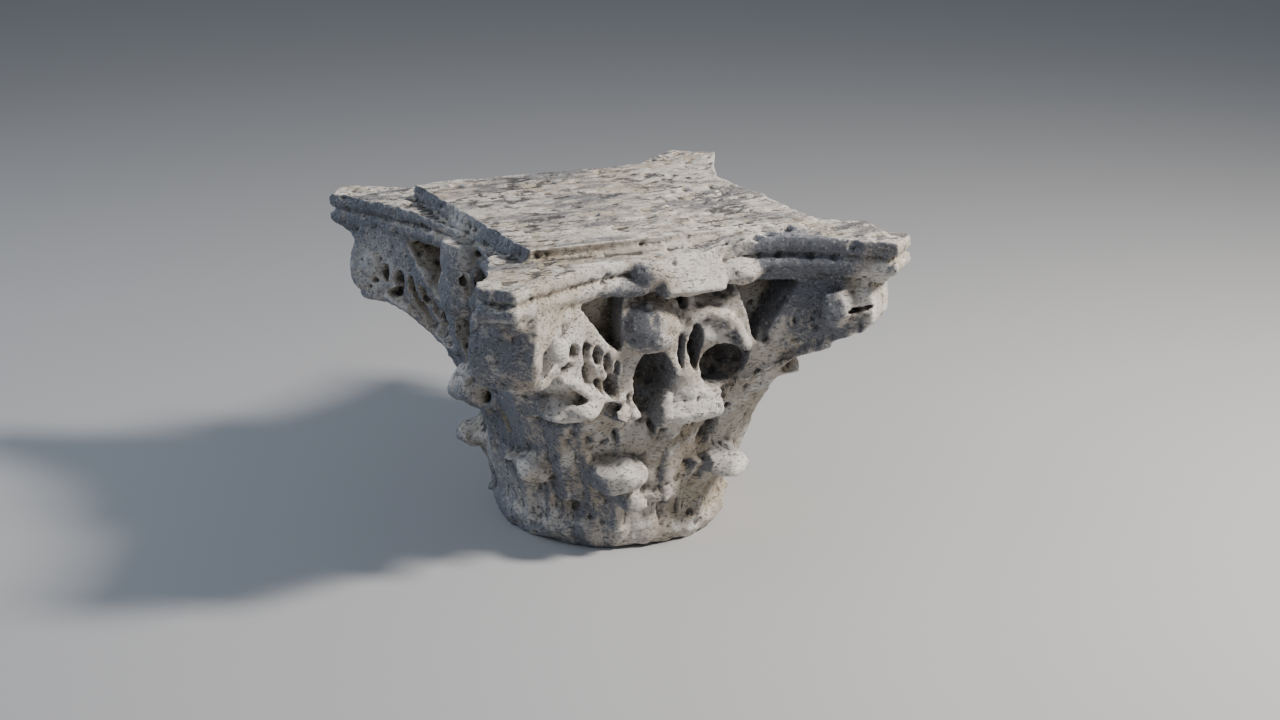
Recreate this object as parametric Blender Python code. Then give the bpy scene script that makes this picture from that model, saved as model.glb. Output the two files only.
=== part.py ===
"""A weathered marble Corinthian capital, carved from one block.

+Z is up, the origin is the centre of the foot, and the four sides face the X and Y axes.
The front faces -Y. Carving that has no size of its own is a share of the abacus's height.
"""

import math

import bmesh
import bpy
from mathutils import Matrix, Vector

# Driving sizes, in metres.
HEIGHT = 0.627  # foot to top bed
BED_RISE = 0.027  # top bed above the abacus
SHAFT_RADIUS = 0.221  # the foot, as wide as the top of the shaft
BELL_RADIUS = 0.216  # the bell behind the leaves
LIP_RADIUS = 0.240  # the bell's flared lip
HORN_REACH = 0.592  # axis to an unworn horn's end, along the diagonal
HORN_WIDTH = 0.100  # across an even horn's blunt end
WAIST_REACH = 0.305  # axis to the middle of a hollow side of the abacus
ABACUS_THICKNESS = 0.069
CAVETTO_DEPTH = 0.026  # how far the abacus draws in below its fascia
BED_REACH = 0.292  # axis to the bed's sides and back
BED_FRONT = 0.276  # axis to the bed's front
BED_SPREADS = [0.014, -0.028, 0.0, 0.0]  # how far the bed's wall slopes at each corner, front left first
VOLUTE_REACH = 0.532  # axis to a volute's outermost point
VOLUTE_WIDTH = 0.124  # across a volute
WALL_WAIST = 0.288  # axis to the middle of the wall that the scrolls are carved from

# Working sizes, in metres.
VOXEL = 0.005
CUTTER_VOXEL = 0.004
FACES_KEPT = 0.030  # share of the melted mesh's faces that stays
OVERRUN = 0.020  # how far raw stone passes the flat beds before they are cut

ABACUS_TOP = HEIGHT - BED_RISE
H = ABACUS_TOP  # carving is given in shares of this height
ABACUS_FOOT = ABACUS_TOP - ABACUS_THICKNESS
SIDES = [-90, 0, 90, 180]
CORNERS = [-135, -45, 45, 135]
LOWER_LEAVES = [-157.5 + 45 * k for k in range(8)]
BROKEN_LEAF = -22.5  # the lower leaf that has lost its tip

# At each corner: the worn horn's share of HORN_REACH and of HORN_WIDTH, then how far the horn and
# the volute are off the diagonal.
HORN_WEAR = {-135: 0.965, -45: 0.965, 45: 1.0, 135: 0.985}
HORN_SHARE = {-135: 0.72, -45: 1.30, 45: 1.05, 135: 0.90}
HORN_SHIFT = {-135: -0.004, -45: 0.0, 45: 0.024, 135: -0.004}
VOLUTE_SHIFT = {-135: -0.013, -45: 0.0, 45: 0.0, 135: 0.0}

# The wall of volutes and sheaths: height, reach at the corners and at the middles, as shares of
# the height, of the volutes' reach and of the wall's waist.
WALL = [
    (0.26, 0.44, 0.84), (0.34, 0.49, 0.87), (0.42, 0.545, 0.90), (0.50, 0.615, 0.93),
    (0.56, 0.655, 0.96), (0.61, 0.71, 0.99), (0.66, 0.79, 1.0), (0.695, 0.88, 1.0),
    (0.72, 0.955, 1.0), (0.76, 1.0, 1.0), (0.84, 0.99, 0.98), (0.90, 0.955, 0.95),
]


def smooth_through(points, steps):
    """Catmull-Rom curve through 2-D points, ends included."""
    pts = [Vector(p) for p in points]
    ends = [2 * pts[0] - pts[1], *pts, 2 * pts[-1] - pts[-2]]
    curve = []
    for a, b, c, d in zip(ends, ends[1:], ends[2:], ends[3:]):
        for k in range(steps):
            t = k / steps
            curve.append(
                0.5 * (2 * b + (c - a) * t + (2 * a - 5 * b + 4 * c - d) * t * t
                       + (3 * b - a - 3 * c + d) * t ** 3)
            )
    return curve + [pts[-1]]


def at(angle, radius, z, across=0.0):
    """World point at a radius and height in the upright plane at an angle, stepped sideways by across."""
    turn = math.radians(angle)
    out = Vector((math.cos(turn), math.sin(turn), 0))
    side = Vector((-math.sin(turn), math.cos(turn), 0))
    return out * radius + side * across + Vector((0, 0, z))


def loft(block, rings):
    """Adds to block a closed body through rings of equally many points."""
    rows = [[block.verts.new(p) for p in ring] for ring in rings]
    faces = []
    for near, far in zip(rows, rows[1:]):
        for i in range(len(near)):
            j = (i + 1) % len(near)
            faces.append(block.faces.new((near[i], near[j], far[j], far[i])))
    caps = [block.faces.new(rows[0][::-1]), block.faces.new(rows[-1])]
    bmesh.ops.recalc_face_normals(block, faces=faces + caps)
    bmesh.ops.triangulate(block, faces=caps, ngon_method="EAR_CLIP")


def settle(block, verts, centre, radii, angle, tilt, lean):
    """Scales a unit body out, across and up, leans it sideways, tips it outward and turns it about Z."""
    place = (
        Matrix.Translation(Vector(centre))
        @ Matrix.Rotation(math.radians(angle), 4, "Z")
        @ Matrix.Rotation(math.radians(tilt), 4, "Y")
        @ Matrix.Rotation(math.radians(lean), 4, "X")
        @ Matrix.Diagonal((*radii, 1.0))
    )
    bmesh.ops.transform(block, matrix=place, verts=verts)


def lump(block, centre, radii, angle=0.0, tilt=0.0, lean=0.0):
    """An egg of stone."""
    made = bmesh.ops.create_icosphere(block, subdivisions=3, radius=1.0)["verts"]
    settle(block, made, centre, radii, angle, tilt, lean)


# The ways a chunk's flat broken faces look, how far from its middle they lie, and how square it is.
FACETS = [
    (1.0, 0.2, 0.5), (0.5, -0.9, 0.4), (0.1, 0.8, 0.6), (0.8, 0.5, -0.4), (-0.2, 0.1, 1.0), (0.7, -0.3, -0.7),
]
FACET_REACH = 0.80
SQUARENESS = 2.8


def chunk(block, centre, radii, angle=0.0, tilt=0.0, lean=0.0):
    """A broken block of stone, cut by flat faces that differ with its angle."""
    made = bmesh.ops.create_icosphere(block, subdivisions=4, radius=1.0)["verts"]
    faces = [Matrix.Rotation(0.35 * math.sin(angle), 3, "X") @ Vector(f).normalized() for f in FACETS]
    for vert in made:
        vert.co /= sum(abs(c) ** SQUARENESS for c in vert.co) ** (1 / SQUARENESS)
        for face in faces:
            vert.co -= face * max(0.0, vert.co.dot(face) - FACET_REACH)
    settle(block, made, centre, radii, angle, tilt, lean)


def bell_profile():
    """(radius, height) points up the bell, from below the foot to above the abacus's underside."""
    return smooth_through([
        (SHAFT_RADIUS, -OVERRUN),
        (SHAFT_RADIUS, 0.010),
        (SHAFT_RADIUS + 0.009, 0.05 * H),
        (SHAFT_RADIUS + 0.002, 0.09 * H),
        (BELL_RADIUS, 0.12 * H),
        (BELL_RADIUS, 0.50 * H),
        (0.5 * (BELL_RADIUS + LIP_RADIUS), 0.72 * H),
        (LIP_RADIUS, ABACUS_FOOT - 0.02),
        (LIP_RADIUS, ABACUS_FOOT + 0.02),
    ], 6)


BELL = bell_profile()


def bell_radius(z):
    """Radius of the bell at a height."""
    for low, high in zip(BELL, BELL[1:]):
        if low.y <= z <= high.y:
            share = (z - low.y) / max(high.y - low.y, 1e-9)
            return low.x + (high.x - low.x) * share
    return BELL[0].x if z < BELL[0].y else BELL[-1].x


def add_bell(block):
    loft(block, [[at(a, p.x, p.y) for a in range(0, 360, 6)] for p in BELL])


def hollow_plan(reaches, waist, halves, shifts):
    """A plan with four hollow sides between blunt corners, anticlockwise from the first corner."""
    points = []
    steps = 24
    for corner in CORNERS:
        after = CORNERS[(CORNERS.index(corner) + 1) % 4]
        start = at(corner, reaches[corner], 0, shifts[corner] + halves[corner])
        end = at(after, reaches[after], 0, shifts[after] - halves[after])
        bend = 2 * at(corner + 45, waist, 0) - (start + end) / 2
        for k in range(steps + 1):
            t = k / steps
            points.append(start * (1 - t) ** 2 + bend * 2 * t * (1 - t) + end * t * t)
    return points


def wall_reaches(z):
    """The wall's reach at the corners and at the middles, in metres, at a share of the height."""
    for (low, corner, middle), (high, next_corner, next_middle) in zip(WALL, WALL[1:]):
        if z <= high:
            t = max(0.0, (z - low) / (high - low))
            corner += (next_corner - corner) * t
            middle += (next_middle - middle) * t
            break
    else:
        corner, middle = next_corner, next_middle
    return VOLUTE_REACH * corner, WALL_WAIST * middle


def wall_out(across, z):
    """How far the wall stands from the axis at a step across a side and a height, in shares."""
    corner, middle = wall_reaches(z)
    half = VOLUTE_WIDTH / 2
    corner_across = (corner - half) * math.sqrt(0.5) / H
    corner_out = (corner + half) * math.sqrt(0.5) / H
    share = min(1.1, abs(across) / corner_across)
    return middle / H + (corner_out - middle / H) * share ** 2


def add_wall(block):
    """The hollow-sided wall that volutes, sheaths and helices are carved from."""
    rings = []
    for z, corner, middle in WALL:
        reaches = {a: VOLUTE_REACH * corner for a in CORNERS}
        halves = {a: VOLUTE_WIDTH / 2 * min(1.0, 0.80 + 0.5 * (z - 0.26)) for a in CORNERS}
        plan = hollow_plan(reaches, WALL_WAIST * middle, halves, VOLUTE_SHIFT)
        rings.append([p + Vector((0, 0, z * H)) for p in plan])
    loft(block, rings)


def leaf(block, angle, foot, crown, stand, half_angle, curl=0.045, ribs=3, cut=0.20):
    """One acanthus blade between two heights, standing off the bell by stand at its foot and crown.

    Its middle curls out by curl more at the crown.
    """
    buried = 0.06 * H
    rises = 10
    steps = 24
    sections = []
    for k in range(-steps, steps + 1):
        v = k / steps
        drop = 1 - 0.24 * abs(v) ** 2.4
        furrow = 1 - cut * (1 - abs(math.sin(math.pi * ribs * v)) ** 0.8)
        rib = 0.020 * math.exp(-((v / 0.10) ** 2))
        ring = []
        flare = curl * math.exp(-((v / 0.50) ** 2))
        for i in range(rises + 1):
            t = i / rises
            z = foot + (crown - foot) * t * drop
            off = stand[0] + (stand[1] - stand[0]) * t + flare * t ** 3
            ring.append((bell_radius(z) + (off * (1 - 0.6 * abs(v) ** 3) * furrow + rib) * H, z))
        top = ring[-1][1]
        ring += [(bell_radius(top) - buried, top + 0.02 * H), (bell_radius(foot) - buried, foot)]
        sections.append([at(angle + v * half_angle, r, z) for r, z in ring])
    loft(block, sections)


def add_leaves(block):
    for angle in LOWER_LEAVES:
        broken = angle == BROKEN_LEAF
        stand = (0.008, 0.0 if broken else 0.058)
        leaf(block, angle, 0.07 * H, 0.295 * H, stand, 21, 0.045 if broken else 0.080)
    for angle in SIDES:
        leaf(block, angle, 0.16 * H, 0.50 * H, (0.040, 0.095), 16)
    for angle in CORNERS:
        leaf(block, angle, 0.16 * H, 0.54 * H, (0.040, 0.165), 19)


def slab(block, angle, outline, half_width, edge=0.008, across=0.0):
    """A body with an upright outline in the plane at an angle, half_width to each side of across."""
    rings = []
    centre = sum((Vector(p) for p in outline), Vector((0, 0))) / len(outline)
    for level, shrink in ((-1.0, edge), (-0.88, 0.0), (0.88, 0.0), (1.0, edge)):
        ring = []
        for p in outline:
            q = Vector(p) + (centre - Vector(p)).normalized() * shrink
            ring.append(at(angle, q.x, q.y, across + level * half_width))
        rings.append(ring)
    loft(block, rings)


def tube(block, points):
    """A round stalk through (point, radius) pairs."""
    rings = []
    for i, (point, radius) in enumerate(points):
        before = points[max(i - 1, 0)][0]
        after = points[min(i + 1, len(points) - 1)][0]
        along = (after - before).normalized()
        side = along.cross(Vector((0, 0, 1)))
        side = side.normalized() if side.length > 1e-3 else Vector((1, 0, 0))
        up = side.cross(along)
        rings.append([
            point + (side * math.cos(t) + up * math.sin(t)) * radius
            for t in (2 * math.pi * k / 12 for k in range(12))
        ])
    loft(block, rings)


def on_wall(angle, across, z, proud=0.0):
    """A point on the wall's face on a side; across, z and proud are shares of the height."""
    return at(angle, (wall_out(across, z) + proud) * H, z * H, across * H)


def wall_turn(angle, across, z):
    """The way the wall faces at a step across a side, in degrees about Z."""
    slope = (wall_out(across + 0.01, z) - wall_out(across - 0.01, z)) / 0.02
    return angle - math.degrees(math.atan(slope))


def shares(values):
    return [v * H for v in values]


def add_scrolls(block):
    """The volutes' rolled ends under the horns, with a lip below where it has lasted."""
    for angle, reach, z, radius in SCROLLS:
        disc = [
            ((reach + radius * math.cos(math.radians(a))) * H, (z + radius * math.sin(math.radians(a))) * H)
            for a in range(0, 360, 15)
        ]
        slab(block, angle, disc, VOLUTE_WIDTH / 2 * 1.02, across=VOLUTE_SHIFT[angle])
        for hand in (-1, 1):
            if angle != -45:
                lump(block, on_wall(angle - 45 * hand, 0.480 * hand, z + 0.02, 0.004),
                     shares((0.024, 0.040, 0.040)), wall_turn(angle - 45 * hand, 0.480 * hand, z))


# Angle, then reach, height and radius of each scroll, in shares.
SCROLLS = [
    (-135, 0.775, 0.768, 0.110), (-45, 0.785, 0.805, 0.092),
    (45, 0.780, 0.765, 0.115), (135, 0.778, 0.765, 0.112),
]


def add_helices(block):
    """The two small scrolls that meet on each side's middle, and the ridge along the right one."""
    for angle in SIDES:
        lump(block, on_wall(angle, -0.105, 0.770, 0.0), shares((0.062, 0.100, 0.085)), angle, 0, -25)
        lump(block, on_wall(angle, -0.088, 0.738, 0.035), shares((0.036, 0.048, 0.036)), angle)
        ridge = [(0.024, 0.775, 0.018), (0.085, 0.800, 0.024), (0.149, 0.768, 0.026), (0.217, 0.673, 0.024)]
        tube(block, [(on_wall(angle, x, z, 0.012), r * H) for x, z, r in ridge])
        lump(block, on_wall(angle, 0.115, 0.740, -0.028), shares((0.050, 0.110, 0.065)), angle, 0, 20)
        stem = [(0.03, 0.44, 0.10), (0.03, 0.54, 0.082), (0.028, 0.62, 0.062), (0.026, 0.74, 0.050),
                (0.02, 0.86, 0.050)]
        tube(block, [(on_wall(angle, x, z, -0.03), r * H) for x, z, r in stem])


def add_lower_edges(block):
    """The rounded ridge along the lower edge of each volute's side."""
    for angle in SIDES:
        for hand in (-1, 1):
            tube(block, [(on_wall(angle, hand * x, z, 0.004), r * H) for x, z, r in LOWER_EDGE])


# Step across, height and radius along a volute's lower edge.
LOWER_EDGE = [
    (0.455, 0.684, 0.016), (0.400, 0.656, 0.018), (0.330, 0.600, 0.018), (0.250, 0.562, 0.017),
    (0.175, 0.545, 0.015),
]


def raised(p):
    """How much higher the abacus's rim stands at a point: near two of its horns it climbs to the bed."""
    turn = math.degrees(math.atan2(p.y, p.x))
    return sum(lift * H * math.exp(-((turn - angle) / width) ** 2) for angle, width, lift in LIFTS)


# Angle, width and height of each lift of the rim.
LIFTS = [(-60, 16, 0.034), (45, 12, 0.022)]


def add_abacus(block):
    """Fascia, fillet and cavetto, from the top down, and the raised bed on top."""
    profile = [
        (0.008, 0.0), (0.001, 0.05), (0.0, 0.16), (0.001, 0.36), (0.013, 0.41), (0.014, 0.50),
        (0.003, 0.55), (0.0, 0.66), (0.002, 0.78), (0.40 * CAVETTO_DEPTH, 0.90), (CAVETTO_DEPTH, 1.0),
        (CAVETTO_DEPTH, 1.10),
    ]
    rings = []
    for inset, share in profile:
        z = ABACUS_TOP - ABACUS_THICKNESS * share
        reaches = {a: HORN_REACH * HORN_WEAR[a] - inset for a in CORNERS}
        halves = {a: HORN_WIDTH / 2 * HORN_SHARE[a] - 0.4 * inset for a in CORNERS}
        plan = hollow_plan(reaches, WAIST_REACH - inset, halves, HORN_SHIFT)
        rings.append([p + Vector((0, 0, z + (1 - 0.6 * share) * raised(p))) for p in plan])
    loft(block, rings)
    bed = [
        (-BED_REACH, -BED_FRONT), (BED_REACH, -BED_FRONT), (BED_REACH, BED_REACH), (-BED_REACH, BED_REACH),
    ]
    loft(block, [
        [Vector((x * 1.02, y * 1.05, ABACUS_TOP - 0.04)) for x, y in bed],
        [Vector((x * 1.01, y + spread, ABACUS_TOP)) for (x, y), spread in zip(bed, BED_SPREADS)],
        [Vector((x, y, HEIGHT + OVERRUN)) for x, y in bed],
    ])
    for angle, radius, across, out, wide, high in RAMPS:
        chunk(block, at(angle, radius * H, H, across * H), shares((out, wide, high)), angle)


# Where the bed slopes down to a horn: angle, radius, step across, half sizes out, across and up.
RAMPS = [
    (-45, 0.700, 0.030, 0.250, 0.130, 0.042), (45, 0.760, 0.045, 0.230, 0.085, 0.022),
]


def add_fleurons(block):
    """The flower on each side's middle: broken to a sloping face in front, a worn egg elsewhere."""
    stub = [(0.42, 0.872), (0.530, 0.864), (0.574, 0.888), (0.518, 0.997), (0.42, 1.002)]
    slab(block, -90, [shares(corner) for corner in stub], 0.105 * H, across=0.010 * H)
    for radius, z, across, out, wide, high in STUB_SIDES:
        lump(block, at(-90, radius * H, z * H, across * H), shares((out, wide, high)), -90)
    for angle in SIDES[1:]:
        lump(block, at(angle, 0.540 * H, 0.925 * H, 0.04 * H), shares((0.060, 0.078, 0.098)), angle, 0, 10)


# The lumps beside the broken flower: radius, height and step across, then half sizes.
STUB_SIDES = [
    (0.515, 0.920, 0.175, 0.050, 0.085, 0.045), (0.500, 0.908, -0.190, 0.038, 0.120, 0.034),
    (0.510, 0.950, -0.120, 0.045, 0.070, 0.050),
]


# Angle, radius, height and step across, then the half sizes out, across and up, tilt and lean.
CHUNKS = [
    (-112.0, 0.452, 0.272, 0.00, 0.060, 0.090, 0.056, 38, 6),
    (-108.0, 0.430, 0.178, 0.02, 0.036, 0.046, 0.036, 20, 0),
    (-61.0, 0.466, 0.268, -0.01, 0.068, 0.098, 0.044, 26, -8),
    (-149.0, 0.450, 0.274, 0.00, 0.055, 0.062, 0.056, 20, 0),
    (157.5, 0.455, 0.270, 0.00, 0.062, 0.060, 0.048, 20, 0),
    (112.5, 0.450, 0.262, 0.00, 0.062, 0.074, 0.046, 25, 6),
    (67.5, 0.450, 0.262, 0.00, 0.062, 0.074, 0.046, 20, -8),
    (22.5, 0.450, 0.262, 0.00, 0.062, 0.074, 0.046, 30, 4),
    (-134, 0.590, 0.545, 0.062, 0.085, 0.108, 0.040, 20, 3),
    (-111, 0.505, 0.500, 0.00, 0.046, 0.056, 0.026, 20, -6),
    (-45, 0.560, 0.565, 0.00, 0.085, 0.100, 0.036, 8, 0),
    (45, 0.560, 0.550, 0.00, 0.085, 0.110, 0.040, 20, 6),
    (135, 0.520, 0.490, 0.00, 0.058, 0.100, 0.040, 20, 0),
    (180, 0.495, 0.492, 0.00, 0.075, 0.085, 0.066, 25, 0),
    (0, 0.490, 0.480, 0.00, 0.070, 0.100, 0.058, 30, 6),
    (90, 0.490, 0.480, 0.00, 0.070, 0.100, 0.058, 25, -6),
    (-135, 0.840, 0.855, -0.01, 0.060, 0.068, 0.045, 0, 0),
    (135, 0.860, 0.860, 0.00, 0.060, 0.080, 0.040, 0, 0),
    (135, 0.830, 0.668, 0.00, 0.055, 0.098, 0.024, 0, 0),
    (-135, 0.800, 0.672, -0.02, 0.060, 0.100, 0.022, 0, 0),
    (-45, 0.830, 0.735, 0.00, 0.045, 0.104, 0.020, 0, 0),
    (-80, 0.712, 0.808, 0.385, 0.042, 0.100, 0.070, 0, 0),
]


def add_chunks(block):
    """Broken leaf tips and worn ends of horns and volutes."""
    for angle, radius, z, across, out, wide, high, tilt, lean in CHUNKS:
        chunk(block, at(angle, radius * H, z * H, across * H), shares((out, wide, high)), angle, tilt, lean)


def add_front_break(block):
    """The front middle leaf's tip, snapped off along the stone's level beds."""
    edge = [
        (0.38, 0.43), (0.475, 0.445), (0.510, 0.460), (0.514, 0.478), (0.507, 0.484), (0.510, 0.500),
        (0.500, 0.508), (0.503, 0.524), (0.492, 0.532), (0.486, 0.548), (0.462, 0.562), (0.38, 0.60),
    ]
    slab(block, -90, [(r * H, z * H) for r, z in edge], 0.108 * H, across=0.042 * H)


def cut_between(block, angle, corners, near, far):
    """A cutter with an outline in (across, height) shares, running outward between two reaches."""
    rings = [[at(angle, reach * H, z * H, x * H) for x, z in corners] for reach in (near, far)]
    loft(block, rings)


def cut_hollows(block):
    """The dark hollows under the abacus and the deep holes either side of each stem."""
    for angle in SIDES:
        cut_between(block, angle, [
            (-0.375, 0.885), (-0.340, 0.84), (-0.262, 0.745), (-0.205, 0.705), (-0.215, 0.80),
            (-0.200, 0.885),
        ], 0.42, 0.70)
        cut_between(block, angle, [
            (0.375, 0.885), (0.340, 0.84), (0.275, 0.73), (0.247, 0.680), (0.205, 0.790), (0.185, 0.885),
        ], 0.43, 0.70)
        for x, z, proud, out, wide, high in HOLLOWS:
            lump(block, on_wall(angle, x, z, proud), shares((out, wide, high)), angle)


# Under the right helix's top, above the stem, the left cavity and its foot, the right cavity, and
# the two flutes of the stem: step across, height, step off the wall, then half sizes.
HOLLOWS = [
    (0.105, 0.865, 0.030, 0.060, 0.085, 0.040), (0.010, 0.838, 0.000, 0.090, 0.015, 0.032),
    (-0.088, 0.606, -0.010, 0.150, 0.064, 0.090), (-0.100, 0.520, -0.010, 0.090, 0.040, 0.080),
    (0.150, 0.618, -0.010, 0.140, 0.082, 0.066), (0.006, 0.678, 0.010, 0.050, 0.010, 0.064),
    (0.049, 0.688, 0.010, 0.075, 0.021, 0.078),
]


# Step across, height, half width and half height of each drill hole on a volute's side, and its lean.
DRILLED = [
    (0.434, 0.762, 0.012, 0.034, 0), (0.388, 0.746, 0.024, 0.034, 10), (0.338, 0.736, 0.015, 0.040, 14),
    (0.290, 0.712, 0.016, 0.044, 20), (0.250, 0.674, 0.015, 0.046, 20), (0.214, 0.654, 0.011, 0.028, 10),
    (0.312, 0.646, 0.022, 0.070, 32), (0.226, 0.594, 0.024, 0.048, 20), (0.474, 0.730, 0.014, 0.012, 0),
    (0.500, 0.706, 0.010, 0.010, 0), (0.410, 0.700, 0.034, 0.018, 15), (0.266, 0.602, 0.013, 0.038, 26),
]


def cut_drill_holes(block):
    """Drill holes and finger slots along each volute's side, and round the worn leaves."""
    for angle in SIDES:
        for hand in (-1, 1):
            if hand > 0 and angle == -90:
                continue
            for x, z, wide, high, lean in DRILLED:
                lump(block, on_wall(angle, hand * x, z), shares((0.045, wide, high)),
                     wall_turn(angle, hand * x, z), 0, -hand * lean)
    for x, z, wide, high, lean in FRONT_SLITS:
        lump(block, on_wall(-90, x, z), shares((0.045, wide, high)), wall_turn(-90, x, z), 0, lean)
    for angle, z, wide, high, lean in HOLES:
        lump(block, at(angle, 0.450 * H, z * H), shares((0.055, wide, high)), angle, 0, lean)


# The same for the few slits on the front's right half and stem; lean is to the left.
FRONT_SLITS = [
    (0.399, 0.772, 0.007, 0.024, -20), (0.349, 0.757, 0.008, 0.016, 0), (0.266, 0.712, 0.009, 0.034, 10),
    (0.218, 0.648, 0.012, 0.012, 0), (0.167, 0.444, 0.016, 0.022, 0), (0.200, 0.463, 0.014, 0.009, 0),
    (0.036, 0.587, 0.008, 0.007, 0), (0.0, 0.935, 0.007, 0.007, 0), (0.510, 0.800, 0.130, 0.008, 8),
]


def cut_undercuts(block):
    """The shadowed gap under each volute's lower edge, above the corner leaf's tip."""
    for angle in SIDES:
        for hand in (-1, 1):
            path = UNDERCUT if hand < 0 else UNDERCUT_RIGHT
            tube(block, [(on_wall(angle, hand * x, z, 0.006), r * H) for x, z, r in path])


# Step across, height and radius along the undercuts, left and right.
UNDERCUT = [
    (0.560, 0.664, 0.016), (0.470, 0.640, 0.018), (0.400, 0.612, 0.020), (0.320, 0.558, 0.022),
    (0.240, 0.516, 0.020), (0.180, 0.505, 0.014),
]
UNDERCUT_RIGHT = [
    (0.430, 0.660, 0.012), (0.400, 0.636, 0.020), (0.330, 0.596, 0.018), (0.250, 0.556, 0.013),
    (0.180, 0.545, 0.010),
]

# Angle, height, half width and half height of the deep holes between the leaves, and their lean.
HOLES = [
    (-89.5, 0.216, 0.024, 0.013, 40), (-86.1, 0.166, 0.028, 0.013, 25), (-84.5, 0.244, 0.014, 0.028, -20),
    (-80.2, 0.276, 0.022, 0.028, -10), (-76.3, 0.199, 0.012, 0.040, -15), (-71.8, 0.374, 0.032, 0.058, -25),
    (-131.9, 0.385, 0.008, 0.050, 0), (-124.4, 0.391, 0.008, 0.044, 5), (-114.0, 0.395, 0.008, 0.046, 10),
    (-99.0, 0.425, 0.010, 0.050, 12), (-132.8, 0.091, 0.007, 0.020, 10), (-119.9, 0.092, 0.008, 0.012, 0),
    (-100.7, 0.108, 0.011, 0.010, 0), (-137.0, 0.140, 0.018, 0.007, 20), (-165.0, 0.390, 0.014, 0.050, 10),
    (-170.0, 0.470, 0.018, 0.022, 0),
]


# Shadowed hollows right under the leaf tips: angle, radius, height and half width.
UNDERSIDES = [
    (-120.0, 0.462, 0.205, 0.036), (-98.0, 0.462, 0.215, 0.024), (-61.0, 0.472, 0.205, 0.080),
    (-149.0, 0.462, 0.208, 0.050), (-135.0, 0.535, 0.462, 0.120), (-86.0, 0.500, 0.425, 0.095),
    (-112.0, 0.520, 0.446, 0.050), (180.0, 0.500, 0.405, 0.070), (157.5, 0.470, 0.205, 0.050),
]


def cut_breaks(block):
    """What broke away: the abacus's top by the left side, chips, and the notch by the front flower."""
    cut_between(block, 180, [
        (-0.40, 1.08), (-0.36, 0.998), (-0.20, 0.985), (0.10, 0.975), (0.33, 0.985), (0.38, 1.08),
    ], 0.500, 0.72)
    for angle, radius, z, wide in UNDERSIDES:
        lump(block, at(angle, radius * H, z * H), shares((0.045, wide, 0.018)), angle, 12)
    for centre, radii, turn in CHIPS:
        lump(block, shares(centre), shares(radii), turn)


# The chip in the front rim, two scoops in the bed, the chip by the near horn, the worn hollow in its
# volute's end and the right horn's lost corner: centre and half sizes in shares, and turn.
CHIPS = [
    ((0.225, -0.540, 1.035), (0.020, 0.035, 0.022), 20), ((0.130, 0.120, 1.051), (0.170, 0.030, 0.020), -12),
    ((0.300, -0.040, 1.049), (0.110, 0.030, 0.014), 6),
    ((-0.737, -0.578, 0.900), (0.050, 0.030, 0.040), -135),
    ((-0.675, -0.626, 0.765), (0.045, 0.062, 0.085), -135),
    ((0.813, -0.629, 1.030), (0.100, 0.100, 0.100), 0),
]


def carved(*steps):
    """All the bodies that the steps add, in one mesh, overlapping where they meet."""
    block = bmesh.new()
    for add in steps:
        add(block)
    mesh = bpy.data.meshes.new("rough")
    block.to_mesh(mesh)
    block.free()
    return mesh


def evaluated(mesh, kind, **settings):
    """The mesh after one modifier."""
    holder = bpy.data.objects.new("holder", mesh)
    bpy.context.collection.objects.link(holder)
    modifier = holder.modifiers.new("step", kind)
    for name, value in settings.items():
        setattr(modifier, name, value)
    graph = bpy.context.evaluated_depsgraph_get()
    made = bpy.data.meshes.new_from_object(holder.evaluated_get(graph))
    bpy.data.objects.remove(holder)
    return made


def cut_away(mesh, cutters):
    """The mesh less the cutters' volume."""
    cutter = bpy.data.objects.new("cutter", cutters)
    bpy.context.collection.objects.link(cutter)
    made = evaluated(mesh, "BOOLEAN", operation="DIFFERENCE", solver="MANIFOLD", object=cutter)
    bpy.data.objects.remove(cutter)
    return made


def one_piece(mesh):
    """Leaves only the largest island, so that no sealed pocket or crumb is left."""
    skin = bmesh.new()
    skin.from_mesh(mesh)
    unseen = set(skin.verts)
    islands = []
    while unseen:
        front = [unseen.pop()]
        island = list(front)
        while front:
            near = front.pop()
            for edge in near.link_edges:
                other = edge.other_vert(near)
                if other in unseen:
                    unseen.remove(other)
                    front.append(other)
                    island.append(other)
        islands.append(island)
    islands.sort(key=len)
    for pocket in islands[:-1]:
        bmesh.ops.delete(skin, geom=pocket, context="VERTS")
    skin.to_mesh(mesh)
    skin.free()
    mesh.name = "capital"
    return mesh


def carved_block():
    stone = carved(add_bell, add_wall, add_scrolls, add_leaves, add_helices, add_lower_edges, add_abacus,
                   add_fleurons, add_front_break, add_chunks)
    holes = carved(cut_hollows, cut_drill_holes, cut_undercuts, cut_breaks)
    stone = evaluated(stone, "REMESH", mode="VOXEL", voxel_size=VOXEL)
    holes = evaluated(holes, "REMESH", mode="VOXEL", voxel_size=CUTTER_VOXEL)
    return one_piece(evaluated(cut_away(stone, holes), "REMESH", mode="VOXEL", voxel_size=VOXEL))


def marble():
    material = bpy.data.materials.new("weathered_marble")
    material.use_nodes = True
    shader = material.node_tree.nodes["Principled BSDF"]
    shader.inputs["Base Color"].default_value = (0.50, 0.46, 0.41, 1)
    shader.inputs["Roughness"].default_value = 0.85
    shader.inputs["Metallic"].default_value = 0.0
    return material


def beds_cutter():
    """A block that keeps only what lies between the foot and the top bed."""
    size = 4 * HORN_REACH
    bpy.ops.mesh.primitive_cube_add(size=1, location=(0, 0, HEIGHT / 2))
    cutter = bpy.context.object
    cutter.name = "between_beds"
    cutter.dimensions = (size, size, HEIGHT)
    bpy.ops.object.transform_apply(location=False, rotation=False, scale=True)
    cutter.hide_render = True
    cutter.display_type = "WIRE"
    return cutter


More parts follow.
